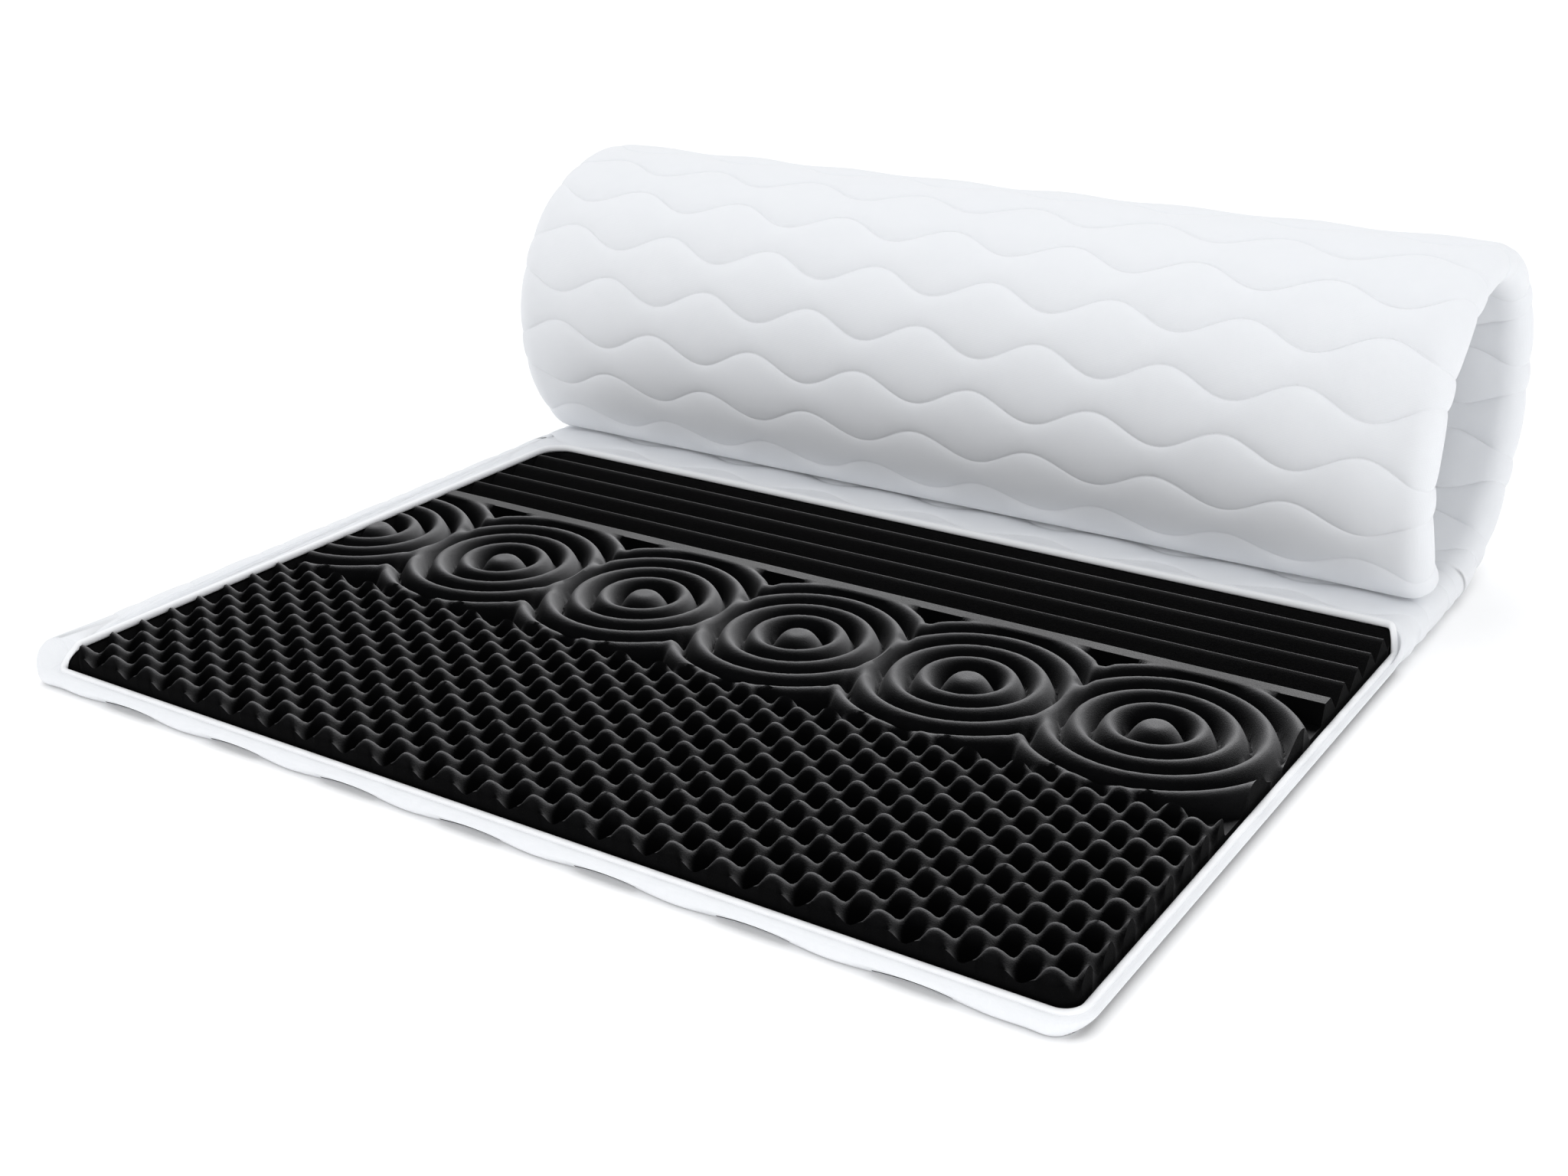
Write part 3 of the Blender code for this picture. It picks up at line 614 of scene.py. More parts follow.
@dataclass(frozen=True)
class Slab:
    """The quilted slab as it lies, rolls up and over, and comes down again."""

    left: float = -0.600
    right: float = 0.607
    thick: float = 0.049
    loop_radius: float = 0.1813
    loop_y: float = 0.3973
    loop_end_deg: float = 225.9
    edge_side: float = 0.030
    edge_tip: float = 0.0245
    wave_length: float = 0.1514
    wave_swing: float = 0.0123
    wave_x: float = 0.0030
    line_deg: float = 106.56
    line_step_deg: float = 18.25
    last_line: int = 6
    first_loop_line: int = -11
    flat_line_step: float = 0.0525
    first_top_line: int = -14
    first_strip_line: int = -28
    sewn_depth: float = 0.0058
    narrow_fullness: float = 0.55
    edge_notch: float = 0.0034
    fade: float = 0.045
    start_y: float = 0.205
    shares: tuple[float, ...] = (0.0, 0.018, 0.045, 0.085, 0.14, 0.21, 0.30, 0.40, 0.5)
    profile: tuple[float, float] = (2.2, 0.60)
    edge_steps: int = 9
    per_wave: int = 28

    @property
    def tip(self) -> float:
        """The rolled end's place along the slab."""
        return self.loop_radius * math.radians(self.loop_end_deg + 90) + self.edge_tip

    @property
    def loop_z(self) -> float:
        """Height of the loop's axis."""
        return self.loop_radius + self.thick / 2

    def wave(self, x: np.ndarray) -> np.ndarray:
        """The wave of the sewn lines, from -1 to 1."""
        return np.cos(2 * np.pi * (x - self.wave_x) / self.wave_length)

    def line_base(self, line: int) -> float:
        """A sewn line's middle place along the slab."""
        on_loop = max(line, self.first_loop_line)
        base = self.loop_radius * math.radians(self.line_deg + self.line_step_deg * on_loop + 90)
        return base + (line - on_loop) * self.flat_line_step

    def line_swing(self, line: int) -> float:
        """How far a sewn line waves; neighbours swing opposite ways."""
        return self.wave_swing if line % 2 == 0 else -self.wave_swing

    def puff(self, share: np.ndarray | float) -> np.ndarray | float:
        """Fullness between two lines, 0 on them."""
        power, root = self.profile
        return (1 - np.abs(2 * share - 1) ** power) ** root

    def channel_rows(self, line: int, upto: float = 1.0) -> list[Row]:
        """The rows from a sewn line on.

        Args:
            line: The sewn line.
            upto: Share of the channel that is wanted.

        Returns:
            The rows before that share.
        """
        start, end = self.line_base(line), self.line_base(line + 1)
        swing, after = self.line_swing(line), self.line_swing(line + 1)
        spread = 1.0 if after > swing else -1.0
        shares = list(self.shares) + [1 - s for s in reversed(self.shares[1:-1])]
        return [Row(start + s * (end - start), swing + s * (after - swing), spread,
                    float(self.puff(s))) for s in shares if s < upto]

    def rows(self, first: int, last: int) -> list[Row]:
        """All rows from one sewn line up to another."""
        return [row for line in range(first, last) for row in self.channel_rows(line)]

    def end_rows(self) -> list[Row]:
        """The last channel and the rounding of the rolled end."""
        found = []
        line = self.line_base(self.last_line)
        swing = self.line_swing(self.last_line)
        reach = self.tip - self.edge_tip - line
        for share in self.shares:
            found.append(Row(line + share * 2 * reach, swing * (1 - share * 2), 1.0,
                             float(self.puff(share))))
        for n in range(1, self.edge_steps + 1):
            bend = math.sin(math.pi / 2 * n / self.edge_steps)
            found.append(Row(self.tip - self.edge_tip * (1 - bend)))
        return found

    def sunk(self, row: Row, x: np.ndarray) -> np.ndarray:
        """How far a row lies under the fullest channel."""
        if not row.spread and row.puff:
            return np.zeros_like(x)
        wide = 0.5 + 0.5 * row.spread * self.wave(x)
        full = self.narrow_fullness + (1 - self.narrow_fullness) * wide
        return self.sewn_depth * (1 - row.puff * full)

    def middle(self, along: np.ndarray) -> tuple[np.ndarray, ...]:
        """The slab's middle: y, z, and the outward direction's y and z."""
        turn = along / self.loop_radius - np.pi / 2
        flat = along <= 0
        out_y = np.where(flat, 0.0, np.cos(turn))
        out_z = np.where(flat, -1.0, np.sin(turn))
        y = np.where(flat, self.loop_y + along, self.loop_y + self.loop_radius * out_y)
        z = np.where(flat, self.thick / 2, self.loop_z + self.loop_radius * out_z)
        return y, z, out_y, out_z

    def row_places(self, row: Row, side: Side) -> np.ndarray:
        """The points of one row.

        Args:
            row: The row.
            side: Which face of the slab.

        Returns:
            Points from the left edge over the slab to the right edge.
        """
        bends = np.sin(np.pi / 2 * np.arange(1, self.edge_steps + 1) / self.edge_steps)
        tip = min(1.0, max(0.0, 1 - (self.tip - row.base) / self.edge_tip))
        bends = bends * math.sqrt(max(0.0, 1 - tip * tip))
        reach = self.edge_side - self.edge_notch * (1 - row.puff)
        inner = self.inner_xs()
        xs = np.concatenate([inner[0] - reach * bends[::-1], inner, inner[-1] + reach * bends])
        edge = np.concatenate([bends[::-1], np.zeros(len(inner)), bends])
        return self.places(row, xs, edge, side)

    def places(self, row: Row, x: np.ndarray, edge: np.ndarray, side: Side) -> np.ndarray:
        """Points of a row at given places across, edge running from 0 to 1 outwards."""
        along = row.base + row.swing * self.wave(x)
        tip = np.clip(1 - (self.tip - along) / self.edge_tip, 0, 1)
        full = np.sqrt(np.clip(1 - tip ** 2 - edge ** 2, 0, None))
        sunk = self.sunk(row, x) * ease(np.minimum(x - self.left, self.right - x) / self.fade)
        if side is Side.UNDER and row.base <= 0:
            sunk = sunk * 0
        y, z, out_y, out_z = self.middle(along)
        half = (self.thick / 2 - sunk) * full
        half = half + self.creases(x, along, side) * full * (edge < 0.5) * (row.base > -0.19)
        return np.stack([x, y + side.value * half * out_y, z + side.value * half * out_z], -1)

    def creases(self, x: np.ndarray, along: np.ndarray, side: Side) -> np.ndarray:
        """Faint puckers of the cloth, up to half a millimetre; none underneath the flat half."""
        if side is Side.UNDER:
            gate = np.clip(along / 0.05, 0, 1)
        else:
            gate = np.clip((along + 0.18) / 0.05, 0, 1)
        places = np.stack([x, along, np.full_like(x, side.value * 0.7)], -1)
        broad = ripple(places, 0.11, 11) * 0.0009
        small = ripple(places * (1.0, 0.35, 1.0), 0.013, 5) * 0.00016
        return gate * (broad + small)

    def inner_xs(self) -> np.ndarray:
        """Places across the slab between its rounded edges."""
        first, last = self.left + self.edge_side, self.right - self.edge_side
        count = round((last - first) / self.wave_length * self.per_wave)
        return np.linspace(first, last, count + 1)

    def sunk_at(self, x: np.ndarray, y: np.ndarray) -> np.ndarray:
        """How far the flat half's top is drawn down at any place."""
        found = np.zeros_like(x)
        wave = self.wave(x)
        along = y - self.loop_y
        for line in range(self.first_strip_line - 1, self.first_loop_line + 1):
            low = self.line_base(line) + self.line_swing(line) * wave
            high = self.line_base(line + 1) + self.line_swing(line + 1) * wave
            share = np.clip((along - low) / (high - low), 0, 1)
            inside = (along >= low) & (along < high)
            spread = 1.0 if self.line_swing(line + 1) > 0 else -1.0
            full = self.narrow_fullness + (1 - self.narrow_fullness) * (0.5 + 0.5 * spread * wave)
            found = np.where(inside, self.sewn_depth * (1 - self.puff(share) * full), found)
        return found * ease(np.minimum(x - self.left, self.right - x) / self.fade)

    def sewn_line(self, line: int, side: Side, inset: float, lift: float) -> np.ndarray:
        """The thread's way along a sewn line.

        Args:
            line: The sewn line.
            side: Which face of the slab.
            inset: Where it stops short of the sides.
            lift: How far it lies over the bottom of the groove.

        Returns:
            Points from left to right.
        """
        xs = np.linspace(self.left + inset, self.right - inset, 8 * self.per_wave)
        row = Row(self.line_base(line), self.line_swing(line), 1.0, 0.0)
        along = row.base + row.swing * self.wave(xs)
        sunk = self.sunk(row, xs) * ease(np.minimum(xs - self.left, self.right - xs) / self.fade)
        y, z, out_y, out_z = self.middle(along)
        half = self.thick / 2 - sunk + self.creases(xs, along, side) + lift
        return np.stack([xs, y + side.value * half * out_y, z + side.value * half * out_z], -1)


# ---- the window ------------------------------------------------------------------------------


@dataclass(frozen=True)
class Window:
    """The opening in the top, with the path of its edge and the bead's rebate."""

    left: float = -0.5402
    right: float = 0.5905
    front: float = -0.5895
    back: float = 0.1930
    front_right_radius: float = 0.017
    back_right_radius: float = 0.016
    back_left_radius: float = 0.028
    climb_deg: tuple[float, float] = (10.0, 65.0)
    corner: tuple[tuple[float, ...], ...] = (
        (-0.5402, -0.5700, 180, 1.00), (-0.5412, -0.5780, 165, 0.97),
        (-0.5455, -0.5822, 145, 0.82), (-0.5525, -0.5846, 155, 0.48),
        (-0.5545, -0.5868, 200, 0.14), (-0.5520, -0.5888, 245, 0.00),
        (-0.5440, -0.5895, 270, 0.00))
    floor: float = 0.006
    high_crest: float = 0.0505
    low_crest: float = 0.0235
    rebate_width: float = 0.0074
    rebate_depth: float = 0.0102
    shoulder: float = 0.0030
    station: float = 0.0065

    def crest(self, high: np.ndarray) -> np.ndarray:
        """Height of the bead's crest at a share of the full height."""
        return self.low_crest + high * (self.high_crest - self.low_crest)

    def round_corner(self, x: float, y: float, radius: float, start_deg: float) -> np.ndarray:
        """Stations round one corner.

        Args:
            x: Where the two sides would meet, across.
            y: The same, from front to back.
            radius: Of the corner.
            start_deg: Outward direction at its start.

        Returns:
            Rows of x, y, outward degrees and share of the full height.
        """
        centre_x = x - math.copysign(radius, x)
        centre_y = y - math.copysign(radius, y - (self.front + self.back) / 2)
        degs = start_deg + 90 * np.arange(17) / 16
        turns = np.radians(degs)
        low, high = self.climb_deg
        share = ease((degs - low) / (high - low)) if y > 0 else np.zeros(len(degs))
        return np.stack([centre_x + radius * np.cos(turns), centre_y + radius * np.sin(turns),
                         degs, share], -1)

    def stations(self) -> np.ndarray:
        """The whole path, from the front left corner round by the right.

        Returns:
            Rows of x, y, outward x, outward y and share of the full height.
        """
        corners = [smooth_chain(np.array(self.corner), 5),
                   self.round_corner(self.right, self.front, self.front_right_radius, 270),
                   self.round_corner(self.right, self.back, self.back_right_radius, 0),
                   self.round_corner(self.left, self.back, self.back_left_radius, 90)]
        found = []
        for n, part in enumerate(corners):
            after = corners[(n + 1) % len(corners)]
            found.append(part)
            gap = math.dist(part[-1][:2], after[0][:2])
            count = int(gap / self.station)
            ends = part[-1].copy(), after[0].copy()
            ends[1][2] = ends[0][2]
            shares = np.arange(1, count)[:, None] / count
            found.append(ends[0] + shares * (ends[1] - ends[0]))
        table = np.vstack(found)
        turns = np.radians(table[:, 2])
        return np.stack([table[:, 0], table[:, 1], np.cos(turns), np.sin(turns), table[:, 3]], -1)

    def loop(self, offset: float, drop: float | None) -> np.ndarray:
        """A closed chain beside the path.

        Args:
            offset: Outwards from the path.
            drop: Below the crest, or None for the window's floor.

        Returns:
            Its points.
        """
        way = self.stations()
        z = np.full(len(way), self.floor) if drop is None else self.crest(way[:, 4]) - drop
        return np.stack([way[:, 0] + offset * way[:, 2], way[:, 1] + offset * way[:, 3], z], -1)


# ---- the cover ---------------------------------------------------------------------------------


@dataclass
class Cover:
    """The filled cover: the rolled slab, and the tray round the window."""

    slab: Slab = field(default_factory=Slab)
    window: Window = field(default_factory=Window)
    front_y: float = -0.6037
    tray_right: float = 0.604
    left_corner: float = 0.024
    right_corner: float = 0.034
    front_edge: tuple[tuple[float, float], ...] = (
        (0.0038, 0.0205), (0.0018, 0.0188), (0.0005, 0.0160), (0.0, 0.0115),
        (0.0008, 0.0070), (0.0030, 0.0035), (0.0070, 0.0))
    right_edge: tuple[tuple[float, float], ...] = (
        (0.0040, 0.0205), (0.0016, 0.0198), (0.0, 0.0178), (0.0030, 0.0120),
        (0.0072, 0.0070), (0.0110, 0.0033), (0.0150, 0.0))
    right_climb: tuple[tuple[float, float], ...] = ((0.150, 0.0), (0.172, 0.25), (0.190, 0.65))
    front_lift: float = 0.0050
    front_tuck: float = 0.0060
    front_station: float = 0.0055
    stitch_inset: float = 0.036

    def station(self, x: float, y: float, out: tuple[float, float], low: np.ndarray,
                high: float = 0.0, round_in: float = 0.0, lift: float = 0.0) -> np.ndarray:
        """The points over the tray's outer edge at one place.

        Args:
            x: Where its outermost point would be, across.
            y: The same, from front to back.
            out: Outward direction.
            low: The low edge's section as rows of inset and height.
            high: Share of the full height.
            round_in: Share of the full edge's rounding.
            lift: Share of the wave that lifts the lower rim.

        Returns:
            Points from the top down.
        """
        low = np.array(low, dtype=float)
        inset, z = low[:, 0].copy(), low[:, 1].copy()
        rim, second, middle = low[-3, 1], low[-2, 1], low[-4, 1]
        z += np.where(z == rim, self.front_lift * lift, 0.0)
        z += np.where(low[:, 1] < rim, self.front_lift * lift * low[:, 1] / second, 0.0)
        inset += np.where(low[:, 1] <= middle, self.front_tuck * lift * (1 - z / middle), 0.0)
        fine = smooth_chain(np.stack([inset, z], -1), self.slab.edge_steps * 2 // 6)
        turns = np.pi * np.linspace(0, 1, len(fine))
        tall_inset = self.slab.edge_side * (1 - np.sin(turns))
        tall_z = self.slab.thick / 2 * (1 + np.cos(turns))
        inset = fine[:, 0] + round_in * (tall_inset - fine[:, 0])
        z = np.maximum(0.0, fine[:, 1] + high * (tall_z - fine[:, 1]))
        return np.stack([x - inset * out[0], y - inset * out[1], z], -1)

    def stations(self, left_rows: list[Row], start: Row) -> list[np.ndarray]:
        """All sections of the tray's outer edge, from the back left round by the front."""
        slab = self.slab
        steps = slab.edge_steps

        def slab_edge(row: Row, at: slice) -> np.ndarray:
            """The slab's own rounded edge at a row, from the top down."""
            over = slab.row_places(row, Side.OVER)[at]
            under = slab.row_places(row, Side.UNDER)[at]
            if at.start is None:
                over, under = over[::-1], under[::-1]
            return np.vstack([over, under[-2::-1]])

        found = [slab_edge(row, slice(None, steps + 1)) for row in [start] + left_rows[::-1]]
        front, right = np.array(self.front_edge), np.array(self.right_edge)
        for share in np.linspace(0, 1, 17):
            turn = math.radians(180 + 90 * share)
            out = (math.cos(turn), math.sin(turn))
            high = 1 - float(ease(share))
            found.append(self.station(slab.left + self.left_corner * (1 + out[0]),
                                      self.front_y + self.left_corner * (1 + out[1]),
                                      out, front, high, high ** 3))
        first, last = slab.left + self.left_corner, self.tray_right - self.right_corner
        phase = slab.wave_x + slab.wave_length / 2
        for x in np.linspace(first, last, int((last - first) / self.front_station))[1:-1]:
            lift = 0.5 - 0.5 * math.cos(2 * math.pi * (x - phase) / slab.wave_length)
            lift *= float(ease(min(x - first, last - x) / self.right_corner))
            found.append(self.station(x, self.front_y, (0.0, -1.0), front, lift=lift))
        for share in np.linspace(0, 1, 17):
            turn = math.radians(270 + 90 * share)
            out = (math.cos(turn), math.sin(turn))
            low = front + float(ease(share)) * (right - front)
            found.append(self.station(self.tray_right - self.right_corner * (1 - out[0]),
                                      self.front_y + self.right_corner * (1 + out[1]), out, low))
        found += self.right_stations(right)
        found.append(slab_edge(start, slice(-steps - 1, None)))
        return found

    def right_stations(self, right: np.ndarray) -> list[np.ndarray]:
        """The sections of the low right edge, which climbs at its back end."""
        first = self.front_y + self.right_corner
        found = []
        ys = np.linspace(first, self.right_climb[0][0], 120)[1:-1]
        for y in ys:
            found.append(self.station(self.tray_right, float(y), (1.0, 0.0), right))
        climb = smooth_chain(np.array(self.right_climb + ((self.slab.start_y, 1.0),)), 5)[:-1]
        for y, high in climb:
            high = max(0.0, float(high))
            x = self.tray_right + high * (self.slab.right - self.tray_right)
            found.append(self.station(x, float(y), (1.0, 0.0), right, high, high ** 3))
        return found

    def links(self, first: np.ndarray, second: np.ndarray) -> list[tuple[int, int]]:
        """Pairs up two closed chains that run the same way, by the shorter link each time."""
        start = int(np.argmin(np.linalg.norm(second - first[0], axis=1)))
        a = b = 0
        found = [(0, start)]
        count_a, count_b = len(first), len(second)
        while a < count_a or b < count_b:
            after_a, now_a = first[(a + 1) % count_a], first[a % count_a]
            after_b, now_b = second[(start + b + 1) % count_b], second[(start + b) % count_b]
            step_a = b == count_b or (a < count_a and math.dist(after_a, now_b)
                                      < math.dist(now_a, after_b))
            a, b = (a + 1, b) if step_a else (a, b + 1)
            found.append((a % count_a, (start + b) % count_b))
        return found

    def rim_top(self, draft: Draft, inside: np.ndarray, outside: np.ndarray) -> None:
        """The top between the bead's rebate and the outer edge, puffed a little.

        Args:
            draft: The body being made.
            inside: The chain at the bead.
            outside: The chain at the outer edge.
        """
        pairs = np.array(self.links(inside, outside))
        a, b = inside[pairs[:, 0]], outside[pairs[:, 1]]
        shares = np.linspace(0, 1, 9)
        shares = shares ** 1.3
        places = a[:, None] + shares[None, :, None] * (b - a)[:, None]
        width = np.linalg.norm(b - a, axis=1)[:, None]
        rise = np.minimum(0.0016, 0.10 * width) * np.sin(np.pi * shares)[None] ** 0.7
        high = np.clip((places[..., 2] - 0.03) / 0.015, 0, 1)
        sunk = self.slab.sunk_at(places[..., 0], places[..., 1])
        middle = np.sin(np.pi * shares)[None]
        places[..., 2] += rise - 0.6 * sunk * high * middle
        draft.grid(draft.add(places))

    def mesh(self) -> bpy.types.Mesh:
        """Builds the cover's closed mesh."""
        slab, window, draft = self.slab, self.window, Draft()
        steps = slab.edge_steps
        start = Row(slab.start_y - slab.loop_y)
        flat = [start] + slab.rows(slab.first_top_line, slab.first_loop_line)
        flat += [r for r in slab.channel_rows(slab.first_loop_line) if r.base < -0.0005]
        loop = [Row(0.0)] + [r for r in slab.channel_rows(slab.first_loop_line)
                             if r.base > 0.0005]
        loop += slab.rows(slab.first_loop_line + 1, slab.last_line) + slab.end_rows()
        over = np.array([slab.row_places(r, Side.OVER) for r in flat + loop])
        under = np.array([slab.row_places(r, Side.UNDER) for r in flat + loop])
        draft.grid(draft.add(over))
        foot = len(flat)
        draft.grid(draft.add(under[foot:]))
        for part in (under[:foot + 1, :steps + 1], under[:foot + 1, -steps - 1:]):
            draft.grid(draft.add(part))
        left_rows = slab.rows(slab.first_strip_line, slab.first_top_line)
        stations = self.stations(left_rows, start)
        draft.grid(draft.add(np.array(stations)))
        outside = [s[0] for s in stations] + list(over[0][steps:-steps][-2:0:-1])
        shoulder = window.loop(window.rebate_width, window.shoulder)
        # the path starts at the front left corner, as the chain outside does after its left side
        self.rim_top(draft, shoulder, np.array(outside))
        walls = np.array([window.loop(0.0, None), window.loop(0.0, window.rebate_depth),
                          window.loop(window.rebate_width, window.rebate_depth), shoulder])
        index = draft.add(walls)
        draft.grid(index.T, around=True)
        draft.faces.append(index[0].tolist())
        outline = [s[-1] for s in stations]
        outline += list(under[1:foot, -steps - 1])
        outline += list(under[foot, steps:-steps][::-1])
        outline += list(under[1:foot, steps][::-1])
        draft.faces.append(draft.add(np.array(outline)).tolist())
        return draft.mesh("cover_quilted")

    def cloth_map(self, mesh: bpy.types.Mesh) -> None:
        """Lays the cloth's own map over the cover, in metres across and along."""
        places = np.empty(len(mesh.vertices) * 3)
        mesh.vertices.foreach_get("co", places)
        places = places.reshape(-1, 3) - SHIFT
        slab = self.slab
        turn = np.arctan2(places[:, 2] - slab.loop_z, places[:, 1] - slab.loop_y)
        turn = np.where(turn < -np.pi / 2, turn + 2 * np.pi, turn)
        rolled = (places[:, 1] > slab.loop_y) | (places[:, 2] > 0.0585)
        along = np.where(rolled, slab.loop_radius * (turn + np.pi / 2), places[:, 1] - slab.loop_y)
        corners = np.empty(len(mesh.loops), dtype=np.int64)
        mesh.loops.foreach_get("vertex_index", corners)
        layer = mesh.uv_layers.new(name="cloth")
        layer.data.foreach_set("uv", np.stack([places[:, 0], along], -1)[corners].ravel())

    def shade_window_wall(self, mesh: bpy.types.Mesh) -> None:
        """Gives the faces inside the window's edge the mesh's second material: the foam that runs on
        under the bead, darker than the core as painted shade in the gap under the hem.
        """
        count = len(mesh.polygons)
        middles = np.empty(count * 3)
        mesh.polygons.foreach_get("center", middles)
        middles = middles.reshape(-1, 3) - SHIFT
        low = middles[:, 2] < self.window.high_crest - self.window.shoulder + 0.0005
        near = np.nonzero(low & (middles[:, 2] > 0.002) & (middles[:, 1] < self.slab.start_y))[0]
        path = self.window.loop(self.window.rebate_width - 0.0005, None)
        marks = np.zeros(count, dtype=np.int32)
        marks[near[inside_path(middles[near], path)]] = 1
        mesh.polygons.foreach_set("material_index", marks)

    def build(self) -> list[bpy.types.Object]:
        """Makes the cover and its stitches."""
        mesh = self.mesh()
        self.cloth_map(mesh)
        mesh.materials.append(KNIT.make())
        mesh.materials.append(FOAM_AND_SHADE_WALL.make())
        self.shade_window_wall(mesh)
        cover = linked("cover_quilted", mesh)
        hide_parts("cover")
        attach(cover, BODY)
        thread = THREAD.make()
        pieces = [cover]
        for name, side, first in (("stitches_outside", Side.UNDER, self.slab.first_loop_line + 1),
                                  ("stitches_inside", Side.OVER, self.slab.first_top_line)):
            lines = range(first, self.slab.last_line + 1)
            ways = [self.slab.sewn_line(line, side, self.stitch_inset, 0.0001) for line in lines]
            tree = stitch_tree(thread, 0.0048, 0.0038, 0.0009)
            piece = tree.applied(name, way_mesh(name, ways))
            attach(piece, BODY)
            pieces.append(piece)
        return pieces


def way_mesh(name: str, ways: list[np.ndarray]) -> bpy.types.Mesh:
    """A mesh of edges alone, one chain for each way."""
    places, edges = [], []
    for way in ways:
        first = len(places)
        places += (way + SHIFT).tolist()
        edges += [(n, n + 1) for n in range(first, first + len(way) - 1)]
    made = bpy.data.meshes.new(name)
    made.from_pydata(places, edges, [])
    return made


# ---- the bead --------------------------------------------------------------------------------


@dataclass
class Bead:
    """The round bead sewn into the window's edge."""

    window: Window = field(default_factory=Window)
    gap: float = 0.0004
    width: float = 0.0066
    depth: float = 0.0083
    bulge: float = 0.0006
    points: int = 20

    def mesh(self) -> bpy.types.Mesh:
        """Sweeps the bead's section round the window."""
        draft = Draft()
        middle = self.gap + self.width / 2
        turns = np.linspace(0, 2 * np.pi, self.points, endpoint=False)
        reach = self.width / 2 + self.bulge
        chains = []
        for turn in turns:
            across = middle + reach * math.copysign(abs(math.cos(turn)) ** 0.9, math.cos(turn))
            drop = self.depth / 2 * (1 - math.copysign(abs(math.sin(turn)) ** 0.9,
                                                       math.sin(turn))) - 0.0002
            chains.append(self.window.loop(across, drop))
        index = draft.add(np.array(chains))
        draft.grid(np.vstack([index, index[:1]]).T, around=True)
        return draft.mesh("window_bead")

    def build(self) -> list[bpy.types.Object]:
        """Makes the bead with a map that runs along it."""
        mesh = self.mesh()
        layer = mesh.uv_layers.new(name="cloth")
        for corner in mesh.loops:
            place = mesh.vertices[corner.vertex_index].co
            layer.data[corner.index].uv = (place.x + place.z, place.y - place.z)
        mesh.materials.append(BINDING.make())
        bead = linked("window_bead", mesh)
        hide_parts("window_piping")
        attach(bead, BODY)
        return [bead]


# ---- the foam core -------------------------------------------------------------------------------


